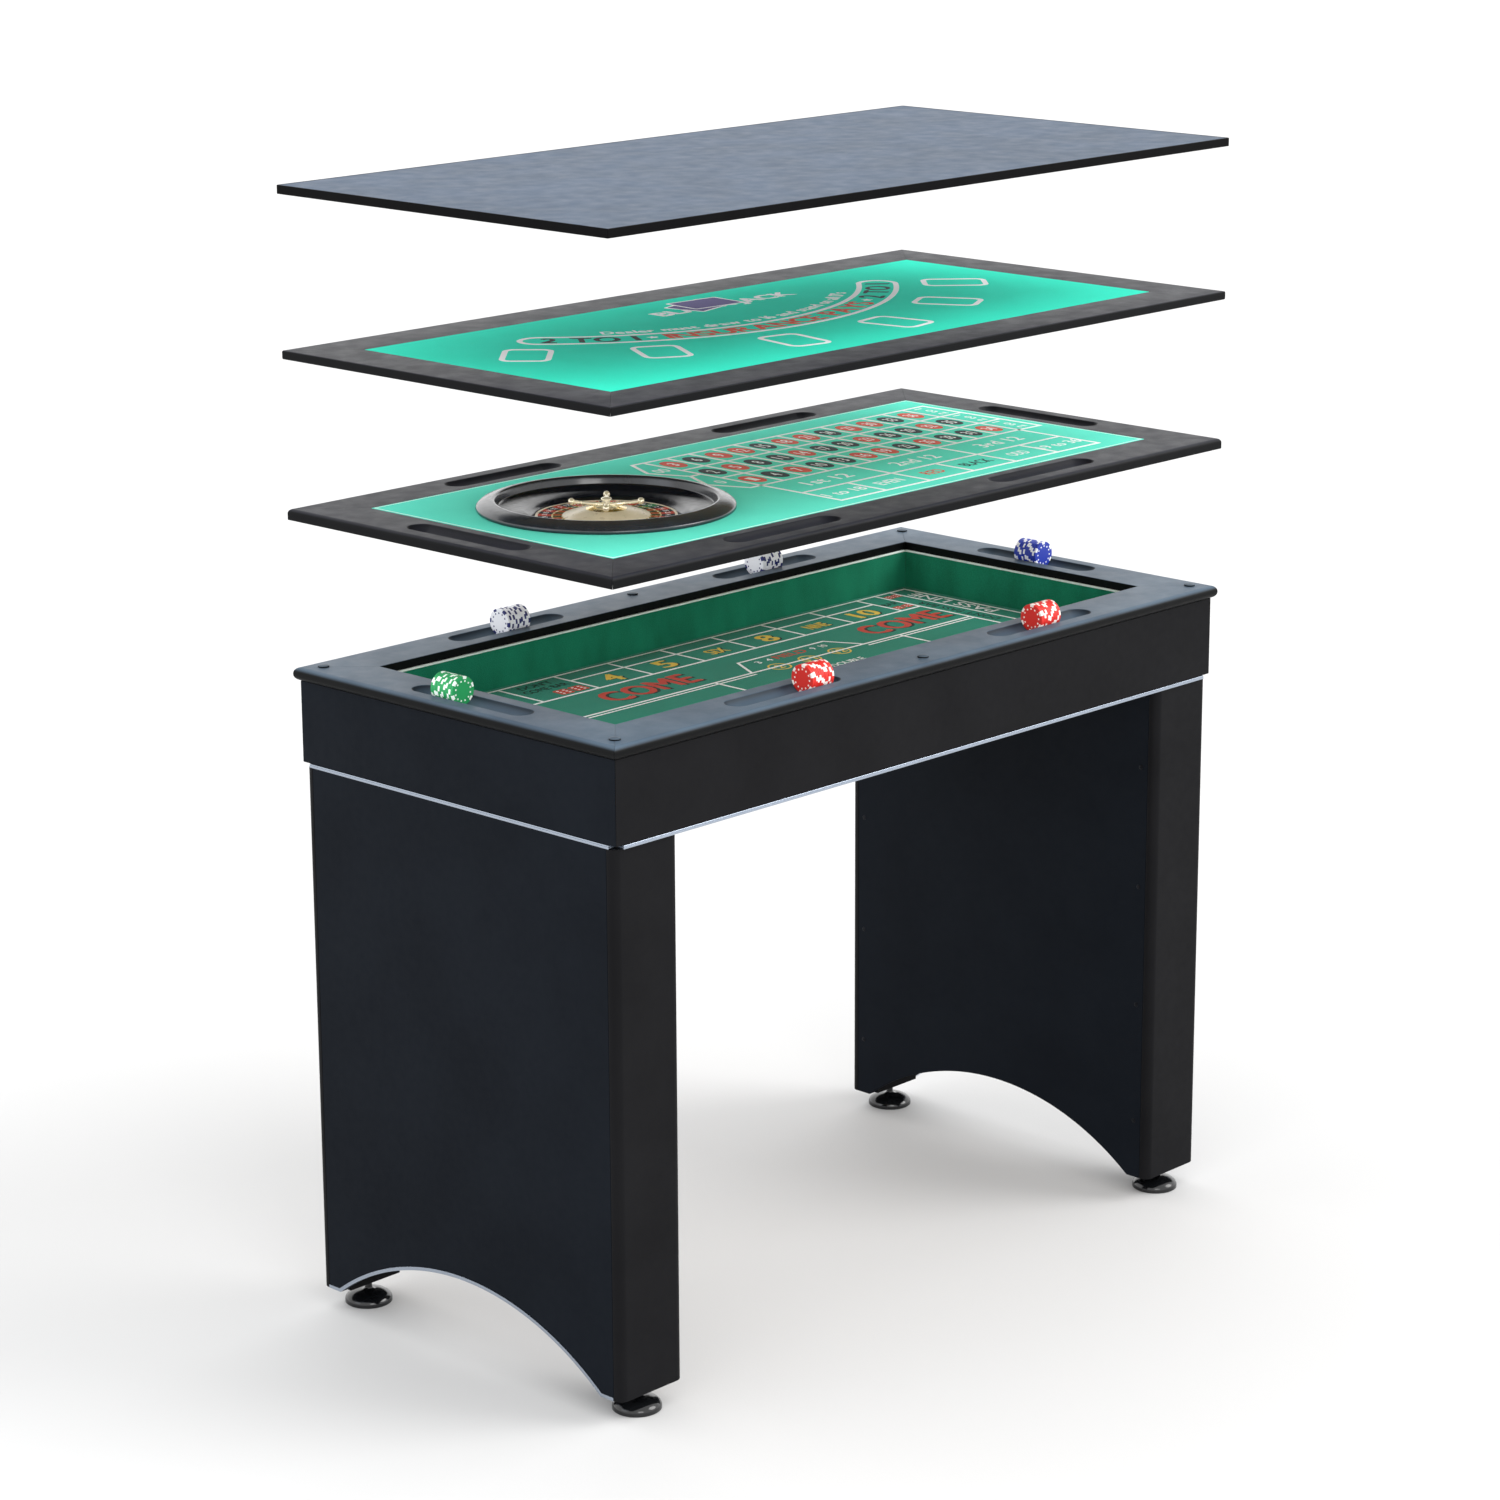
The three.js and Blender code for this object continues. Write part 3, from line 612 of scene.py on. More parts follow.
# legs: arched panels, rounded stiles, bright edging, screws and levelling feet
legShape = {
    "archFlat": 0.038, "archRise": 0.088, "archSteps": 48, "edge": 0.0008,
    "stileCorner": 0.012, "stileSteps": 8,
    "screwRadius": 0.0035, "screwProud": 0.0006, "screwInset": 0.012,
    "screwHeights": (0.12, 0.30, 0.48, 0.66),
}
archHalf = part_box("left_leg_back_stile")[1].y - legShape["archFlat"]
archRadius = (archHalf ** 2 + legShape["archRise"] ** 2) / (2 * legShape["archRise"])
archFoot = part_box("left_leg_arch_edging")[0].z
archMiddle = archFoot + legShape["archRise"] - archRadius


def archLine(height, radius, backwards=False):
    # the arch as seen along X, from where it leaves the given height
    start = math.degrees(math.asin((height - archMiddle) / radius))
    ends = (start, 180 - start) if backwards else (180 - start, start)
    return arcPoints((0, archMiddle), radius, *ends, legShape["archSteps"])


def archedPanel(node):
    low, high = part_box(node)
    corners = [(high.y, low.z), (high.y, high.z), (low.y, high.z), (low.y, low.z)]
    outline = corners + archLine(low.z, archRadius + low.z - archFoot)
    return plateShape(outline, "x", low.x, high.x, legShape["edge"])


def archEdging(node):
    low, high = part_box(node)
    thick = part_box(node.replace("arch_edging", "outer_panel"))[0].z - low.z - 0.3 * millimetre
    outline = [(low.y, low.z), *archLine(low.z, archRadius), (high.y, low.z), (high.y, low.z + thick),
               *archLine(low.z + thick, archRadius + thick, True), (low.y, low.z + thick)]
    return plateShape(outline, "x", low.x, high.x, 0.4 * millimetre)


def roundedStile(node):
    low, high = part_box(node)
    corner, steps = legShape["stileCorner"], legShape["stileSteps"]
    outward = -1 if low.y < 0 else 1
    near = low.y - corner * outward if outward < 0 else high.y - corner
    far = high.y if outward < 0 else low.y
    arcs = arcPoints((low.x + corner, 0), corner, 180, 270, steps)
    arcs += arcPoints((high.x - corner, 0), corner, 270, 360, steps)
    outline = [(high.x, far), (low.x, far)] + [(x, near - outward * y) for x, y in arcs]
    return plateShape(outline, "z", low.z, high.z, 0.5 * millimetre)


def screwHead(radius, proud, place, turn):
    dome = [(radius, -proud), (radius, proud * 0.3), (radius * 0.8, proud), (radius * 0.25, proud),
            (radius * 0.2, proud * 0.2), (0, proud * 0.2)]
    shape = turnedShape([(0, -proud), *dome], 20)
    bmesh.ops.transform(shape, matrix=Matrix.Translation(place) @ turn, verts=shape.verts)
    return shape


for hand, inward in (("left", 1), ("right", -1)):
    for panel in ("outer_panel", "inner_panel"):
        node = f"{hand}_leg_{panel}"
        # the leg panels face the ends and take the painted-shade copy of the vinyl
        addPiece(f"{node}_board", archedPanel(node), "table", shadedEndVinyl, [node])
    node = f"{hand}_leg_arch_edging"
    addPiece(f"{node}_strip", archEdging(node), "table", brightTrim, [node])
    dressNode(f"{hand}_leg_beam", nearBlackBlock)
    for face in ("front", "back"):
        node = f"{hand}_leg_{face}_stile"
        addPiece(f"{node}_board", roundedStile(node), "table", wrappedPanel, [node])
        dressNode(f"{hand}_leg_{face}_foot_block", nearBlackBlock)
    low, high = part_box(f"{hand}_leg_inner_panel")
    faceX = high.x if inward > 0 else low.x
    turn = Matrix.Rotation(math.radians(90 * inward), 4, "Y")
    heads = [screwHead(legShape["screwRadius"], legShape["screwProud"], (faceX, y, z), turn)
             for y in (low.y + legShape["screwInset"], high.y - legShape["screwInset"])
             for z in legShape["screwHeights"]]
    addPiece(f"{hand}_leg_screws", gather(heads), "table", screwMetal)

footShape = {"neck": 0.009, "stem": 0.005, "rim": 0.004, "dome": 0.017, "edge": 0.0009, "steps": 72}
for face in ("front", "back"):
    for hand in ("left", "right"):
        node = f"foot_{face}_{hand}"
        low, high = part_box(node)
        radius = (high.x - low.x) / 2
        neck, rim, dome = footShape["neck"], footShape["rim"], footShape["dome"]
        swell = [(neck + (radius - neck) * math.cos(a), rim + (dome - rim) * math.sin(a))
                 for a in (math.radians(7.5 * i) for i in range(13))]
        profile = [(0, 0), (radius - 0.001, 0), (radius, 0.001), *swell, (footShape["stem"] + 0.001, dome + 0.002),
                   (footShape["stem"], dome + 0.004), (footShape["stem"], high.z), (0, high.z)]
        shape = turnedShape(profile, footShape["steps"], footShape["edge"], 3, 50)
        bmesh.ops.translate(shape, vec=((low.x + high.x) / 2, (low.y + high.y) / 2, 0), verts=shape.verts)
        addPiece(f"levelling_{node}", shape, f"leveller_{face}_{hand}", footPlastic, [node])
print("legs and feet made")

# boards above the rail
diningShape = {"edge": 0.0015, "band": 0.0022, "lift": 0.0003}
low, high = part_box("dining_top")
band = diningShape["band"]
addPiece("dining_edge_band", ringShape(low, high, band, diningShape["edge"]), "dining_board",
         edgeBand, ["dining_top"])
inner = Vector((band, band, diningShape["lift"]))
addPiece("dining_panel", boxShape(low + inner, high - inner, 0.0003, 1), "dining_board",
         diningLaminate)
dressNode("blackjack_underframe", boardLaminate)
dressNode("wheel_spindle", screwMetal)


def fieldBoards(node, body, name, baize, hole=None):
    # the felt, and the board under it, each with the wheel's hole where there is one
    low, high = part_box(node)
    feltThick = 1.2 * millimetre
    for part, bottom, top, finish, slotName in (
            ("felt", high.z - feltThick, high.z, baize, "board_baize"),
            ("backing", low.z, high.z - feltThick, rawBoard, "raw_board")):
        bm = bmesh.new()
        corners = [bm.verts.new((x, y, bottom)) for x, y in
                   ((low.x, low.y), (high.x, low.y), (high.x, high.y), (low.x, high.y))]
        rim = [bm.edges.new((corners[i], corners[(i + 1) % 4])) for i in range(4)]
        if hole:
            ring = bmesh.ops.create_circle(bm, cap_ends=False, segments=96, radius=hole[2],
                                           matrix=Matrix.Translation((hole[0], hole[1], bottom)))["verts"]
            rim += [e for e in bm.edges if all(v in ring for v in e.verts)]
        bmesh.ops.triangle_fill(bm, use_beauty=True, edges=rim)
        risen = [v for v in bmesh.ops.extrude_face_region(bm, geom=bm.faces[:])["geom"]
                 if isinstance(v, bmesh.types.BMVert)]
        bmesh.ops.translate(bm, vec=(0, 0, top - bottom), verts=risen)
        bmesh.ops.recalc_face_normals(bm, faces=bm.faces)
        addPiece(f"{name}_{part}", bm, body, finish, [node] if part == "felt" else [])


bowlLow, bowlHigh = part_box("wheel_bowl")
wheelX, wheelY = (bowlLow.x + bowlHigh.x) / 2, (bowlLow.y + bowlHigh.y) / 2
bowlRadius = (bowlHigh.x - bowlLow.x) / 2
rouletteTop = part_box("roulette_field")[1].z
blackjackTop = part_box("blackjack_field")[1].z
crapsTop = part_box("craps_felt")[1].z
wheelFlange = 0.022
fieldBoards("roulette_field", "roulette_board", "roulette", rouletteBaize,
            (wheelX, wheelY, bowlRadius - wheelFlange))
fieldBoards("blackjack_field", "blackjack_board", "blackjack", blackjackBaize)
low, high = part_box("craps_felt")
feltCloth = addPiece("craps_felt_cloth", boxShape(low, high), "table", crapsBaize, ["craps_felt"])

# panel pins at the mitres
pinShape = {"radius": 0.0013, "proud": 0.0001}
for name, node, top, spots in (
        ("roulette", "roulette_frame", rouletteTop, [(0.049, 0.056)]),
        ("blackjack", "blackjack_frame", blackjackTop, [(0.050, 0.068), (0.068, 0.050)])):
    halfX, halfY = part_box(f"{node}_right")[1].x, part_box(f"{node}_back")[1].y
    pins = [screwHead(pinShape["radius"], pinShape["proud"], (i * (halfX - a), j * (halfY - b), top), Matrix())
            for i in (-1, 1) for j in (-1, 1) for a, b in spots]
    addPiece(f"{name}_pins", gather(pins), f"{name}_board", screwMetal)
print("boards made")

# roulette wheel: bowl, head with its numbers and frets, and turret. Heights are from the board's top.
bowlShape = {
    "edge": 0.0016, "steps": 160, "trackFrom": 0.099, "trackTo": 0.144,
    "profile": ((0.172, 0.0003), (0.172, 0.005), (0.166, 0.0098), (0.158, 0.0126), (0.153, 0.0137),
                (0.150, 0.0145), (0.147, 0.0133), (0.1455, 0.009), (0.144, 0.002), (0.128, -0.0022),
                (0.112, -0.005), (0.105, -0.0084), (0.098, -0.0108), (0.0965, -0.014), (0, -0.014),
                (0, -0.017), (0.0995, -0.017), (0.1135, -0.008), (0.1493, -0.003), (0.1493, 0.0003)),
}


def placeWheelPart(shape):
    bmesh.ops.translate(shape, vec=(wheelX, wheelY, rouletteTop), verts=shape.verts)
    return shape


profile = [*bowlShape["profile"]]
start = profile.index((0, -0.017))
shape = turnedShape(profile[start:] + profile[:start], bowlShape["steps"], bowlShape["edge"], 4, 24)
bowl = addPiece("wheel_bowl_shell", placeWheelPart(shape), "roulette_board", wheelPlastic,
                ["wheel_bowl"])
bowl.data.materials.append(trackPlastic)
for face in bowl.data.polygons:
    away = math.hypot(face.center.x - wheelX, face.center.y - wheelY)
    face.material_index = 1 if bowlShape["trackFrom"] < away < bowlShape["trackTo"] else 0

headShape = {
    "base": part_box("wheel_head")[0].z - rouletteTop, "steps": 152,
    "radius": 0.094, "ringInner": 0.072, "pocketInner": 0.058, "coneRadius": 0.026,
    "boreRadius": 0.0043, "boreTop": 0.0098, "rim": 0.0028, "coneHeight": 0.0135,
    "fretThick": 0.0007, "fretTop": 0.0031, "numberHeight": 0.0072, "inkWidth": 0.0185,
}
# the order of the numbers round a double-zero wheel
wheelOrder = ("0 28 9 26 30 11 7 20 32 17 5 22 34 15 3 24 36 13 1 "
              "00 27 10 25 29 12 8 19 31 18 6 21 33 16 4 23 35 14 2").split()
redNumbers = {"1", "3", "5", "7", "9", "12", "14", "16", "18", "19", "21", "23", "25", "27", "30", "32", "34", "36"}


def makeHead(size):
    base, rim, ring = size["base"], size["rim"], size["ringInner"]
    cone = [(size["pocketInner"] - (size["pocketInner"] - size["coneRadius"]) * t,
             rim + 0.0006 + (size["coneHeight"] - 0.0015 - rim - 0.0006) * (1 - (1 - t) ** 1.4))
            for t in (i / 8 for i in range(9))]
    profile = [(0, size["boreTop"]), (size["boreRadius"], size["boreTop"]), (size["boreRadius"], 0),
               (size["radius"], 0), (size["radius"], rim + 0.0006), (size["radius"] - 0.0025, rim + 0.0006),
               (size["radius"] - 0.003, rim), (ring, rim - 0.0008), (ring - 0.001, rim - 0.0014),
               (size["pocketInner"] + 0.001, rim - 0.0014), *cone, (size["coneRadius"] - 0.008, size["coneHeight"]),
               (0, size["coneHeight"])]
    shape = turnedShape(profile, size["steps"], 0.0003, 2, 30)
    bmesh.ops.translate(shape, vec=(0, 0, base), verts=shape.verts)
    return shape


addPiece("wheel_head_moulding", placeWheelPart(makeHead(headShape)), "wheel_rotor",
         headPlastic, ["wheel_head"])


def pocketTiles(size, chosen):
    # one thin sector for each number of the chosen colour, laid on the number ring and on the pocket's floor
    share = 360 / len(wheelOrder)
    bm = bmesh.new()
    bands = ((size["radius"] - 0.0035, size["rim"] - 0.0001, size["ringInner"] + 0.0008, size["rim"] - 0.0008),
             (size["ringInner"] - 0.0015, size["rim"] - 0.0014, size["pocketInner"] + 0.0015, size["rim"] - 0.0014))
    for i, number in enumerate(wheelOrder):
        if not chosen(number):
            continue
        for outer, outerZ, inner, innerZ in bands:
            pair = [bm.verts.new((outer, 0, outerZ)), bm.verts.new((inner, 0, innerZ))]
            bmesh.ops.rotate(bm, cent=(0, 0, 0), verts=pair,
                             matrix=Matrix.Rotation(math.radians(share * (i - 0.46)), 3, "Z"))
            edge = bm.edges.new(pair)
            bmesh.ops.spin(bm, geom=pair + [edge], cent=(0, 0, 0), axis=(0, 0, 1),
                           angle=math.radians(share * 0.92), steps=4)
    made = bmesh.ops.extrude_face_region(bm, geom=bm.faces[:])["geom"]
    bmesh.ops.translate(bm, vec=(0, 0, 0.0003), verts=[v for v in made if isinstance(v, bmesh.types.BMVert)])
    bmesh.ops.recalc_face_normals(bm, faces=bm.faces)
    bmesh.ops.translate(bm, vec=(0, 0, size["base"]), verts=bm.verts)
    return bm


greenInk = inkFinish("green_enamel_ink", "2a8a5a", "226e48")
for name, finish, chosen in (
        ("red", deepRedInk, lambda n: n in redNumbers),
        ("black", blackInk, lambda n: n not in redNumbers and n.strip("0")),
        ("green", greenInk, lambda n: not n.strip("0"))):
    addPiece(f"wheel_pockets_{name}", placeWheelPart(pocketTiles(headShape, chosen)), "wheel_rotor", finish)


def makeFrets(size):
    shapes = []
    for i in range(len(wheelOrder)):
        low = (size["pocketInner"], -size["fretThick"] / 2, size["rim"] - 0.0016)
        high = (size["ringInner"] + 0.001, size["fretThick"] / 2, size["fretTop"])
        fret = boxShape(low, high, 0.0002, 1)
        turn = Matrix.Rotation(math.tau * (i + 0.5) / len(wheelOrder), 3, "Z")
        bmesh.ops.rotate(fret, cent=(0, 0, 0), matrix=turn, verts=fret.verts)
        bmesh.ops.translate(fret, vec=(0, 0, size["base"]), verts=fret.verts)
        shapes.append(fret)
    return gather(shapes)


addPiece("wheel_frets", placeWheelPart(makeFrets(headShape)), "wheel_rotor", fretMetal)

turretShape = {
    "foot": headShape["coneHeight"] + 0.0003, "domeRadius": 0.030, "stem": 0.0052, "top": 0.027,
    "armLength": 0.046, "armRise": 0.0055, "armTilt": 6, "armRadius": 0.0024, "knob": 0.0046,
}


def makeTurretPost(size):
    foot, stem, top = size["foot"], size["stem"], size["top"]
    button = [(0.0072 * math.cos(a), top - 0.003 + 0.003 * math.sin(a)) for a in (math.radians(15 * i) for i in range(7))]
    profile = [(0, foot), (0.016, foot), (0.0145, foot + 0.0014), (0.0078, foot + 0.0022), (stem, foot + 0.0036),
               (stem, top - 0.0046), (0.0046, top - 0.0042), (0.0066, top - 0.0036), *button]
    shape = turnedShape(profile, 48, 0.0003, 2, 30)
    bmesh.ops.translate(shape, vec=(0, 0, headShape["base"]), verts=shape.verts)
    return shape


def makeTurretArm(size, angle):
    reach, thick, knob = size["armLength"], size["armRadius"], size["knob"]
    ball = [(knob * math.cos(a), reach + knob * math.sin(a)) for a in (math.radians(-60 + 15 * i) for i in range(11))]
    profile = [(0, 0.003), (thick * 1.25, 0.003), (thick * 1.25, reach * 0.3), (thick * 1.5, reach * 0.33),
               (thick * 1.25, reach * 0.37), (thick * 0.85, reach * 0.6), (thick, reach * 0.82), *ball]
    arm = turnedShape(profile, 28, 0.0002, 2, 30)
    lean = Matrix.Rotation(math.radians(90 - size["armTilt"]), 4, "Y")
    rise = Matrix.Translation((0, 0, headShape["base"] + headShape["coneHeight"] + size["armRise"] - 0.003))
    spin = Matrix.Rotation(math.radians(angle), 4, "Z")
    bmesh.ops.transform(arm, matrix=rise @ spin @ lean, verts=arm.verts)
    return arm


addPiece("turret_post", placeWheelPart(makeTurretPost(turretShape)), "wheel_rotor", paleGold,
         ["wheel_turret"])
arms = gather([makeTurretArm(turretShape, angle) for angle in (45, 135, 225, 315)])
addPiece("turret_arms", placeWheelPart(arms), "wheel_rotor", paleGold)
dome = [(0.0265 - 0.0105 * i / 6, 0.0122 + 0.0018 * math.sin(math.radians(15 * i))) for i in range(7)]
shape = turnedShape([(0.016, 0.012), (0.0275, 0.012), *dome, (0.016, 0.012)], 64)
bmesh.ops.translate(shape, vec=(0, 0, headShape["base"]), verts=shape.verts)
addPiece("wheel_cone_cap", placeWheelPart(shape), "wheel_rotor", goldPlate)
print("wheel made")

# printed layouts: screen ink on the felts, each colour one piece
inkPress = {"thick": 0.00016, "lift": 0.00003, "curveSteps": 3}


def pressInk(bm, curve, place):
    # turns a flat curve or a word into solid ink in its place
    block = bpy.data.objects.new("block", curve)
    mesh = bpy.data.meshes.new_from_object(block)
    mesh.transform(place)
    bm.from_mesh(mesh)
    for data, store in ((block, bpy.data.objects), (curve, bpy.data.curves), (mesh, bpy.data.meshes)):
        store.remove(data)


def inkLevel(top, level):
    return top + inkPress["thick"] / 2 - inkPress["lift"] + level * inkPress["lift"]


def inkShape(bm, loops, top, level=0):
    # closed loops of points; a loop inside another is a hole in it
    curve = bpy.data.curves.new("shape", "CURVE")
    curve.dimensions = "2D"
    curve.fill_mode = "BOTH"
    curve.extrude = inkPress["thick"] / 2
    for loop in loops:
        spline = curve.splines.new("POLY")
        spline.points.add(len(loop) - 1)
        for point, (x, y) in zip(spline.points, loop):
            point.co = (x, y, 0, 1)
        spline.use_cyclic_u = True
    pressInk(bm, curve, Matrix.Translation((0, 0, inkLevel(top, level))))


def wordCurve(text):
    curve = bpy.data.curves.new("word", "FONT")
    curve.body = text
    curve.resolution_u = inkPress["curveSteps"]
    curve.extrude = inkPress["thick"] / 2
    return curve


def wordBox(text):
    curve = wordCurve(text)
    block = bpy.data.objects.new("block", curve)
    mesh = bpy.data.meshes.new_from_object(block)
    xs, ys = [v.co.x for v in mesh.vertices], [v.co.y for v in mesh.vertices]
    for data, store in ((block, bpy.data.objects), (curve, bpy.data.curves), (mesh, bpy.data.meshes)):
        store.remove(data)
    return min(xs), min(ys), max(xs), max(ys)


def pressWord(bm, text, place, weight):
    # a heavier letter is struck twice, a hair apart
    under = -0.6 * inkPress["lift"]
    for shift in ((-weight, weight / 2, 0), (weight, -weight / 2, under)) if weight else ((0, 0, 0),):
        pressInk(bm, wordCurve(text), place @ Matrix.Translation(shift))


def inkWord(bm, text, centre, size, top, level=1, turn=0, weight=0.011):
    # a word of the given width and height about its middle
    x0, y0, x1, y1 = wordBox(text)
    place = Matrix.Translation((*centre, inkLevel(top, level))) @ Matrix.Rotation(math.radians(turn), 4, "Z")
    place = place @ Matrix.Diagonal((size[0] / (x1 - x0), size[1] / (y1 - y0), 1, 1))
    pressWord(bm, text, place @ Matrix.Translation((-(x0 + x1) / 2, -(y0 + y1) / 2, 0)), weight)


def inkArcWord(bm, text, centre, radius, start, end, height, top, level=1, weight=0.016):
    # letters set one by one along an arc; angles in degrees from straight down
    spaceWidth, betweenLetters = 0.35, 0.1
    capHeight = wordBox("H")[3]
    boxes = [None if letter == " " else wordBox(letter) for letter in text]
    widths = [spaceWidth if box is None else box[2] - box[0] + betweenLetters for box in boxes]
    spread = math.radians(end - start) * radius / sum(widths)
    done = 0
    for letter, box, width in zip(text, boxes, widths):
        angle = math.radians(start) + (done + width / 2) * spread / radius
        done += width
        if box is None:
            continue
        spot = (centre[0] + radius * math.sin(angle), centre[1] - radius * math.cos(angle), inkLevel(top, level))
        place = Matrix.Translation(spot) @ Matrix.Rotation(angle, 4, "Z")
        place = place @ Matrix.Diagonal((spread, height / capHeight, 1, 1))
        middle = Matrix.Translation((-(box[0] + box[2]) / 2, -capHeight / 2, 0))
        pressWord(bm, letter, place @ middle, weight)


def boxLoop(x0, y0, x1, y1, corner=0.0):
    if not corner:
        return [(x0, y0), (x1, y0), (x1, y1), (x0, y1)]
    spots = ((x1 - corner, y0 + corner, 270), (x1 - corner, y1 - corner, 0),
             (x0 + corner, y1 - corner, 90), (x0 + corner, y0 + corner, 180))
    return [p for x, y, angle in spots for p in arcPoints((x, y), corner, angle, angle + 90, 6)]


def ovalLoop(x, y, a, b):
    return [(x + a * math.cos(t), y + b * math.sin(t)) for t in (math.tau * i / 36 for i in range(36))]


def moveLoop(loop, x, y, turn):
    c, s = math.cos(turn), math.sin(turn)
    return [(x + c * a - s * b, y + s * a + c * b) for a, b in loop]


def offsetLoop(loop, distance):
    # moves each side of a loop that runs anticlockwise, outwards where distance is above zero
    moved = []
    for i, here in enumerate(loop):
        before, after = Vector(loop[i - 1]), Vector(loop[(i + 1) % len(loop)])
        into, out = (Vector(here) - before).normalized(), (after - Vector(here)).normalized()
        normalIn, normalOut = Vector((into.y, -into.x)), Vector((out.y, -out.x))
        mitre = (normalIn + normalOut) / (1 + normalIn.dot(normalOut))
        moved.append(tuple(Vector(here) + mitre * distance))
    return moved


def inkLine(bm, loop, line, top, level=0):
    inkShape(bm, [offsetLoop(loop, line / 2), offsetLoop(loop, -line / 2)], top, level)


def inkGrid(bm, x0, y0, x1, y1, columns, rows, line, top, level=0):
    # ruled boxes: one sheet of ink with a hole for each box
    loops = [offsetLoop(boxLoop(x0, y0, x1, y1), line / 2)]
    stepX, stepY = (x1 - x0) / columns, (y1 - y0) / rows
    for i in range(columns):
        for j in range(rows):
            cell = boxLoop(x0 + i * stepX, y0 + j * stepY, x0 + (i + 1) * stepX, y0 + (j + 1) * stepY)
            loops.append(offsetLoop(cell, -line / 2))
    inkShape(bm, loops, top, level)


def printPiece(name, body, finish, bm):
    bmesh.ops.remove_doubles(bm, verts=bm.verts, dist=1e-6)
    return addPiece(name, bm, body, finish, smoothAngle=20)


rouletteLayout = {
    "grid": (-0.076, -0.050, 0.465, 0.176), "line": 0.0054, "point": 0.047, "column": 0.047,
    "dozen": 0.075, "chance": 0.072, "oval": (0.0155, 0.0235), "numeral": (0.013, 0.022), "border": 0.006,
}


def printRoulette(size):
    x0, y0, x1, y1 = size["grid"]
    line, top = size["line"], rouletteTop
    white, red, black, pale = bmesh.new(), bmesh.new(), bmesh.new(), bmesh.new()
    stepX, stepY = (x1 - x0) / 12, (y1 - y0) / 3
    inkGrid(white, x0, y0, x1, y1, 12, 3, line, top, 0)
    inkGrid(white, x1, y0, x1 + size["column"], y1, 1, 3, line, top, 1)
    dozenY, chanceY = y0 - size["dozen"], y0 - size["dozen"] - size["chance"]
    inkGrid(white, x0, dozenY, x1, y0, 3, 1, line, top, 1)
    inkGrid(white, x0, chanceY, x1, dozenY, 6, 1, line, top, 2)
    middle = (y0 + y1) / 2
    for low, high, number in ((y0, middle, "0"), (middle, y1, "00")):
        tip = x0 - size["point"]
        shoulder = x0 - size["point"] * 0.45
        pentagon = [(x0, low), (x0, high), (shoulder, high), (tip, (low + high) / 2), (shoulder, low)]
        inkLine(white, pentagon, line, top, 1 if number == "0" else 2)
        inkWord(white, number, (x0 - 0.021, (low + high) / 2), (0.011 * len(number), size["numeral"][1]), top, 1)
    for column in range(12):
        for row in range(3):
            number = str(3 * column + row + 1)
            x, y = x0 + (column + 0.5) * stepX, y0 + (row + 0.5) * stepY
            inkShape(red if number in redNumbers else black, [ovalLoop(x, y, *size["oval"])], top, 0)
            width = size["numeral"][0] * (0.62 if len(number) == 1 else 1.15)
            inkWord(white, number, (x, y), (width, size["numeral"][1]), top, 2)
    for row in range(3):
        inkWord(white, "2 to 1", (x1 + size["column"] / 2, y0 + (row + 0.5) * stepY), (0.055, 0.016), top, 1, 90)
    for i, word in enumerate(("1st 12", "2nd 12", "3rd 12")):
        inkWord(white, word, (x0 + (i + 0.5) * 4 * stepX, (dozenY + y0) / 2), (0.088, 0.026), top, 1)
    chances = (("1 to 18", white), ("EVEN", white), ("RED", red), ("BLACK", black), ("ODD", white), ("19 to 36", white))
    for i, (word, ink) in enumerate(chances):
        centre = (x0 + (2 * i + 1) * stepX, (chanceY + dozenY) / 2)
        inkWord(ink, word, centre, (0.0095 * len(word) + 0.008, 0.021), top, 1)
    low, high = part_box("roulette_field")
    edge = size["border"] / 2
    inkLine(pale, boxLoop(low.x + edge, low.y + edge, high.x - edge, high.y - edge), 0.0012, top)
    printPiece("roulette_print_white", "roulette_board", whiteInk, white)
    printPiece("roulette_print_red", "roulette_board", redInk, red)
    printPiece("roulette_print_black", "roulette_board", blackInk, black)
    printPiece("roulette_print_border", "roulette_board", whiteInk, pale)


blackjackLayout = {
    "centre": (0, 0.430), "line": 0.0078, "box": (0.060, 0.087), "corner": 0.013, "boxRadius": 0.575,
    "boxAngles": (-47.2, -29.6, -10.2, 9.9, 29.1, 46.4), "band": (0.437, 0.490), "bandAngle": 46,
    "bandText": 0.034, "ruleRadius": 0.412, "ruleAngle": 35, "ruleText": 0.020,
    "title": ((0.052, 0.137), (0.262, 0.040)), "card": (0.092, 0.066),
    "cards": ((0.022, 0.158, 14), (0.040, 0.166, -4)),
}


def bandLoop(centre, inner, outer, angle, ends):
    # a curved band with round ends; angles in degrees each side of straight down
    middle, cap = (inner + outer) / 2, ends
    loop = arcPoints(centre, outer, 270 - angle, 270 + angle, 40)
    for side in (1, -1):
        a = math.radians(270 + side * angle)
        hub = (centre[0] + middle * math.cos(a), centre[1] + middle * math.sin(a))
        first = 270 + side * angle
        if side > 0:
            loop += arcPoints(hub, cap, first, first + 180, 14)[1:-1]
            loop += arcPoints(centre, inner, 270 + angle, 270 - angle, 40)
        else:
            loop += arcPoints(hub, cap, first + 180, first + 360, 14)[1:-1]
    return loop


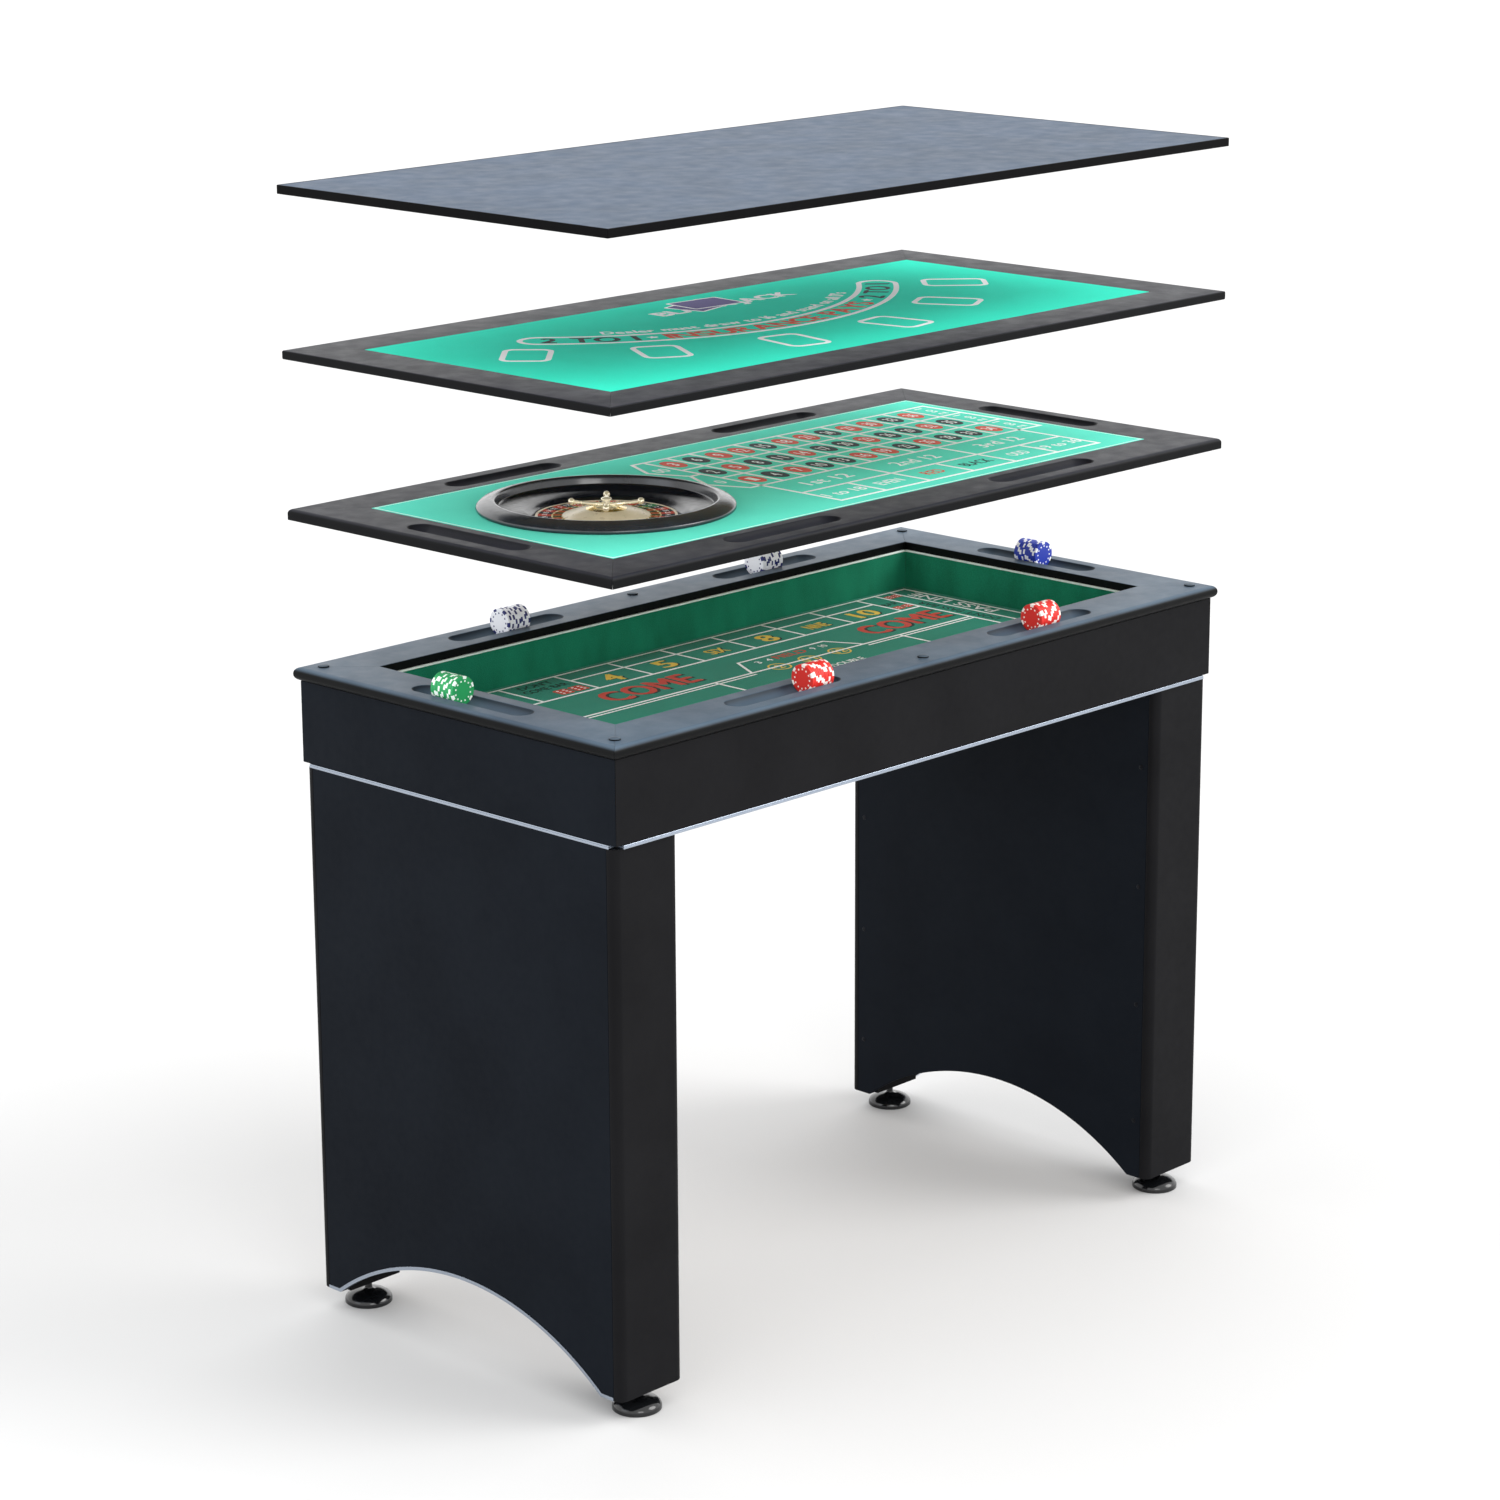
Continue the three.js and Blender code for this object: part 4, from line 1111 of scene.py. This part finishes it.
def printBlackjack(size):
    top, line, centre = blackjackTop, size["line"], size["centre"]
    white, red, black, violet = bmesh.new(), bmesh.new(), bmesh.new(), bmesh.new()
    halfX, halfY = size["box"][0] / 2, size["box"][1] / 2
    for angle in size["boxAngles"]:
        a = math.radians(angle)
        spot = (centre[0] + size["boxRadius"] * math.sin(a), centre[1] - size["boxRadius"] * math.cos(a))
        loops = []
        for grow in (line / 2, -line / 2):
            loop = boxLoop(-halfX - grow, -halfY - grow, halfX + grow, halfY + grow, size["corner"] + grow)
            loops.append(moveLoop(loop, *spot, a))
        inkShape(white, loops, top)
    inner, outer = size["band"]
    loops = [bandLoop(centre, inner - grow, outer + grow, size["bandAngle"], (outer - inner) / 2 + grow)
             for grow in (line / 2, -line / 2)]
    inkShape(white, loops, top)
    middle, height = (inner + outer) / 2, size["bandText"]
    inkArcWord(black, "2 TO 1", centre, middle, -46, -29.5, height, top, weight=0.035)
    inkArcWord(red, "INSURANCE PAYS", centre, middle, -25, 25, height, top, weight=0.035)
    inkArcWord(black, "2 TO 1", centre, middle, 29.5, 46, height, top, weight=0.035)
    for angle in (-27.2, 27.2):
        a = math.radians(angle)
        spot = (centre[0] + middle * math.sin(a), centre[1] - middle * math.cos(a))
        star = [((0.009 if i % 2 == 0 else 0.0042) * math.cos(math.radians(90 + 36 * i)),
                 (0.009 if i % 2 == 0 else 0.0042) * math.sin(math.radians(90 + 36 * i))) for i in range(10)]
        inkShape(white, [moveLoop(star, *spot, a)], top)
    inkArcWord(white, "Dealer must draw to 16 and stand on all 17's", centre, size["ruleRadius"],
               -size["ruleAngle"], size["ruleAngle"], size["ruleText"], top, weight=0.03)
    inkWord(white, "BLACK JACK", *size["title"], top, weight=0.04)
    wide, tall = size["card"][0] / 2, size["card"][1] / 2
    for i, (x, y, turn) in enumerate(size["cards"]):
        card = boxLoop(-wide, -tall, wide, tall, 0.004)
        back = boxLoop(-wide + 0.004, -tall + 0.004, wide - 0.004, tall - 0.004, 0.002)
        inkShape(white, [moveLoop(card, x, y, math.radians(turn))], top, 1 + 2 * i)
        inkShape(violet, [moveLoop(back, x, y, math.radians(turn))], top, 2 + 2 * i)
    printPiece("blackjack_print_white", "blackjack_board", whiteInk, white)
    printPiece("blackjack_print_red", "blackjack_board", redInk, red)
    printPiece("blackjack_print_black", "blackjack_board", blackInk, black)
    printPiece("blackjack_print_violet", "blackjack_board", violetInk, violet)


crapsLayout = {
    "line": 0.0042, "outer": (-0.506, -0.206, 0.508, 0.207), "numbers": (-0.225, 0.400), "numberBack": 0.173,
    "numberFront": 0.115, "comeFront": 0.018, "bandPass": 0.474, "bandBar": 0.440,
    "field": (0.004, 0.180, 0.072), "fieldFoot": 0.028, "fieldFront": -0.060,
    "barFront": -0.110, "passFront": -0.206, "shadow": (0.0035, -0.003),
}


def inkDie(red, white, x, y, size, pips, top):
    inkShape(red, [boxLoop(x - size / 2, y - size / 2, x + size / 2, y + size / 2, size * 0.15)], top, 1)
    for i in range(pips):
        column, row = i % 2, i // 2
        spot = (x + (column - 0.5) * size * 0.46, y + (row - (pips // 2 - 1) / 2) * size * 0.28)
        inkShape(white, [[(spot[0] + size * 0.09 * math.cos(t), spot[1] + size * 0.09 * math.sin(t))
                          for t in (math.tau * k / 10 for k in range(10))]], top, 2)


def printCraps(size):
    top, line = crapsTop, size["line"]
    white, yellow, red, dark = bmesh.new(), bmesh.new(), bmesh.new(), bmesh.new()
    x0, y0, x1, y1 = size["outer"]
    left, right = size["numbers"]
    back, front, come = size["numberBack"], size["numberFront"], size["comeFront"]
    bar, lane = size["bandBar"], size["bandPass"]
    boxWidth = (right - left) / 6
    shadowX, shadowY = size["shadow"]
    inkLine(white, boxLoop(x0, y0, x1, y1), line, top, 0)
    inkGrid(white, left, back, right, y1, 6, 1, line, top, 1)
    inkGrid(white, left, front, right, back, 6, 1, line, top, 2)
    inkGrid(white, right, front, bar, y1, 1, 1, line, top, 3)
    for near, far, level in ((bar, lane, 4), (lane, x1, 5)):
        inkLine(white, boxLoop(near, size["passFront"] if near == lane else size["barFront"], far, y1),
                line, top, level)
    inkLine(white, boxLoop(left - 0.105, front, left, y1), line, top, 3)
    inkLine(white, boxLoop(x0, size["passFront"], -lane + 0.002, y1), line, top, 5)
    inkLine(white, boxLoop(-lane + 0.002, size["barFront"], -bar + 0.002, y1), line, top, 4)
    # the come box, with the field box let into its front
    fieldLeft, fieldRight, fieldBack = size["field"]
    foot = size["fieldFoot"]
    inkLine(white, [(-bar + 0.002, come), (fieldLeft - foot, come), (fieldLeft, fieldBack), (fieldRight, fieldBack),
                    (fieldRight + foot, come), (bar, come), (bar, front), (-bar + 0.002, front)], line, top, 6)
    for drop in (0.0, 0.009):
        for ends in ((-bar + 0.002, fieldLeft - foot), (fieldRight + foot, bar)):
            inkShape(white, [boxLoop(ends[0], come - drop - 0.0016, ends[1], come - drop + 0.0016)], top, 7)
    inkLine(white, boxLoop(fieldLeft - foot - 0.075, size["fieldFront"], fieldRight + foot + 0.075, come), line, top, 8)
    inkLine(white, boxLoop(-bar + 0.002, size["barFront"], bar, size["fieldFront"]), line, top, 9)
    inkLine(white, boxLoop(-lane + 0.002, size["passFront"], lane, size["barFront"]), line, top, 10)
    for i, (word, width, height) in enumerate((("4", 0.026, 0.036), ("5", 0.026, 0.036), ("SIX", 0.034, 0.024),
                                               ("8", 0.026, 0.036), ("NINE", 0.040, 0.024), ("10", 0.044, 0.036))):
        spot = (left + (i + 0.5) * boxWidth, (back + front) / 2)
        inkWord(yellow, word, spot, (width, height), top, 3, weight=0.03)
        inkWord(dark, word, (spot[0] + shadowX / 2, spot[1] + shadowY / 2), (width, height), top, 1, weight=0.04)
    for x in (-0.180, 0.345):
        spot = (x, (come + front) / 2)
        inkWord(red, "COME", spot, (0.165, 0.050), top, 3, weight=0.03)
        inkWord(dark, "COME", (spot[0] + shadowX, spot[1] + shadowY), (0.165, 0.050), top, 1, weight=0.03)
    middle = (fieldLeft + fieldRight) / 2
    inkWord(red, "FIELD", (middle, fieldBack - 0.017), (0.062, 0.016), top, 3)
    for word, shift in (("3  4", -0.055), ("9  10", 0.058)):
        inkWord(white, word, (middle + shift, fieldBack - 0.019), (0.030, 0.012), top, 12)
    for word, shift in (("2", -0.062), ("11", 0.0), ("12", 0.062)):
        spot = (middle + shift, come - 0.002)
        inkShape(yellow, [ovalLoop(*spot, 0.0175, 0.0175), ovalLoop(*spot, 0.0148, 0.0148)], top, 3)
        inkWord(yellow, word, spot, (0.009 * len(word), 0.017), top, 3, weight=0.02)
    inkWord(white, "PAYS DOUBLE", (middle, size["fieldFront"] + 0.024), (0.11, 0.014), top, 12)
    for x, turn in (((lane + x1) / 2, 90), (-(lane + x1) / 2, -90)):
        inkWord(white, "PASS LINE", (x, 0.095), (0.165, 0.020), top, 12, turn)
        inkWord(dark, "DON'T PASS BAR", (math.copysign((lane + bar) / 2, x), 0.055), (0.155, 0.014), top, 3, turn)
    inkWord(white, "PASS LINE", (0, (size["barFront"] + size["passFront"]) / 2), (0.38, 0.046), top, 12)
    inkWord(dark, "DON'T PASS BAR", (0, (size["barFront"] + size["fieldFront"]) / 2), (0.34, 0.026), top, 3)
    inkWord(dark, "DON'T", (left - 0.052, y1 - 0.018), (0.060, 0.015), top, 3)
    inkWord(dark, "COME BAR", (left - 0.052, y1 - 0.040), (0.080, 0.015), top, 3)
    inkWord(dark, "BAR", (right + 0.020, y1 - 0.050), (0.030, 0.013), top, 3)
    dice = ((left - 0.048, 0.136, 6), (left - 0.020, 0.136, 6), (0.452, 0.186, 6), (0.468, 0.186, 6),
            (0.412, 0.132, 4), (0.430, 0.132, 4), (-0.452, 0.186, 6), (-0.468, 0.186, 6))
    for x, y, pips in dice:
        inkDie(red, white, x, y, 0.024 if abs(x) < 0.35 else 0.015, pips, top)
    printPiece("craps_print_white", "table", whiteInk, white)
    printPiece("craps_print_yellow", "table", yellowInk, yellow)
    printPiece("craps_print_red", "table", deepRedInk, red)
    printPiece("craps_print_shadow", "table", shadowInk, dark)


printRoulette(rouletteLayout)
printBlackjack(blackjackLayout)
printCraps(crapsLayout)
print("layouts printed")


# number enamel on the wheel: one numeral for each pocket, read from the rim
def printWheelNumbers(size):
    bm = bmesh.new()
    share = math.tau / len(wheelOrder)
    middle = (size["radius"] - 0.0035 + size["ringInner"] + 0.0008) / 2
    height = size["base"] + size["rim"] + 0.0001
    for i, number in enumerate(wheelOrder):
        angle = share * i
        spot = Matrix.Translation((middle * math.cos(angle), middle * math.sin(angle), 0))
        x0, y0, x1, y1 = wordBox(number)
        place = Matrix.Translation((0, 0, height)) @ spot @ Matrix.Rotation(angle - math.pi / 2, 4, "Z")
        place = place @ Matrix.Diagonal((0.0042 * len(number) / (x1 - x0), size["numberHeight"] / (y1 - y0), 1, 1))
        pressInk(bm, wordCurve(number), place @ Matrix.Translation((-(x0 + x1) / 2, -(y0 + y1) / 2, 0)))
    bmesh.ops.remove_doubles(bm, verts=bm.verts, dist=1e-6)
    return placeWheelPart(bm)


addPiece("wheel_numerals", printWheelNumbers(headShape), "wheel_rotor", whiteInk, smoothAngle=20)

# poker chips, standing on edge in rows in the rail's troughs
chipShape = {
    "radius": 0.0195, "thick": 0.0033, "space": 0.00015, "centre": 0.0118, "marksOut": 0.0142, "edgeIn": 0.0158,
    "rim": 0.0005, "sectors": 72, "edgeMarks": 6, "rowCount": 12, "keep": 0.33, "seed": 7,
}


def makeChip(size):
    half, radius, rim = size["thick"] / 2, size["radius"], size["rim"]
    rings = [0, size["centre"], size["centre"] + 0.0002, size["marksOut"], size["edgeIn"], radius - rim]
    heights = [half - 0.0001, half - 0.0001, half, half, half, half]
    face = list(zip(rings, heights))
    profile = face + [(radius, half - rim), (radius, rim - half)] + [(r, -h) for r, h in reversed(face)]
    bm = turnedShape(profile, size["sectors"])
    inlay = bm.faces.layers.float.new("inlay")
    step = 360 / size["sectors"]
    for f in bm.faces:
        middle = f.calc_center_median()
        away = middle.xy.length
        sector = int(math.degrees(math.atan2(middle.y, middle.x)) % 360 / step)
        onEdge = away > size["edgeIn"] and sector % (size["sectors"] // size["edgeMarks"]) < 4
        onRing = size["centre"] + 0.0003 < away < size["marksOut"] and sector % 6 < 2
        f[inlay] = 1.0 if onEdge or onRing else 0.0
    chip = bpy.data.meshes.new("chip")
    bm.to_mesh(chip)
    bm.free()
    return chip


def makeChipRow(size, chip, middle, along):
    # chips side by side along X or Y, each turned about its own axis and nudged a little sideways
    bm = bmesh.new()
    pitch = size["thick"] + size["space"]
    for i in range(size["rowCount"]):
        first = len(bm.verts)
        bm.from_mesh(chip)
        bm.verts.ensure_lookup_table()
        fresh = bm.verts[first:]
        shift = (i - (size["rowCount"] - 1) / 2) * pitch
        turn = Matrix.Rotation(random.uniform(0, math.tau), 4, "Z")
        lie = Matrix.Rotation(math.pi / 2, 4, "Y") if along == "x" else Matrix.Rotation(math.pi / 2, 4, "X")
        nudge = random.uniform(-0.0004, 0.0004)
        offset = (shift, nudge, 0) if along == "x" else (nudge, shift, 0)
        bmesh.ops.transform(bm, matrix=Matrix.Translation(Vector(middle) + Vector(offset)) @ lie @ turn, verts=fresh)
    return bm


random.seed(chipShape["seed"])
chipFinishes = {
    "red": chipFinish("red_clay_chip", "d42a22", "f6ece6"),
    "white": chipFinish("white_clay_chip", "f0f2f8", "20286a"),
    "blue": chipFinish("blue_clay_chip", "2038a8", "eef0f8"),
    "green": chipFinish("green_clay_chip", "1f9a58", "eefaf2"),
}
chipMesh = makeChip(chipShape)
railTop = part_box("rail_front")[1].z
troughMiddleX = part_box("rail_right")[1].x - railBars["troughs"]["inset"]
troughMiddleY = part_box("rail_back")[1].y - railBars["troughs"]["inset"]
troughFloor = railTop - railBars["troughs"]["depth"] - 0.0003
chipRows = {
    # name: colour, side of the table, place along it
    "chips_front_left": ("red", "front", -0.203),
    "chips_front_right": ("red", "front", 0.263),
    "chips_back_left": ("white", "back", -0.253),
    "chips_back_right": ("white", "back", 0.258),
    "chips_left": ("green", "left", 0.038),
    "chips_right": ("blue", "right", 0.005),
}
for name, (colour, side, place) in chipRows.items():
    along = "x" if side in ("front", "back") else "y"
    out = -1 if side in ("front", "left") else 1
    spot = (place, out * troughMiddleY) if along == "x" else (out * troughMiddleX, place)
    row = makeChipRow(chipShape, chipMesh, (*spot, troughFloor + chipShape["radius"] + 0.0002), along)
    piece = addPiece(name, row, "table", chipFinishes[colour])
    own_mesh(piece)
bpy.data.meshes.remove(chipMesh)
print("chips laid in the rail")
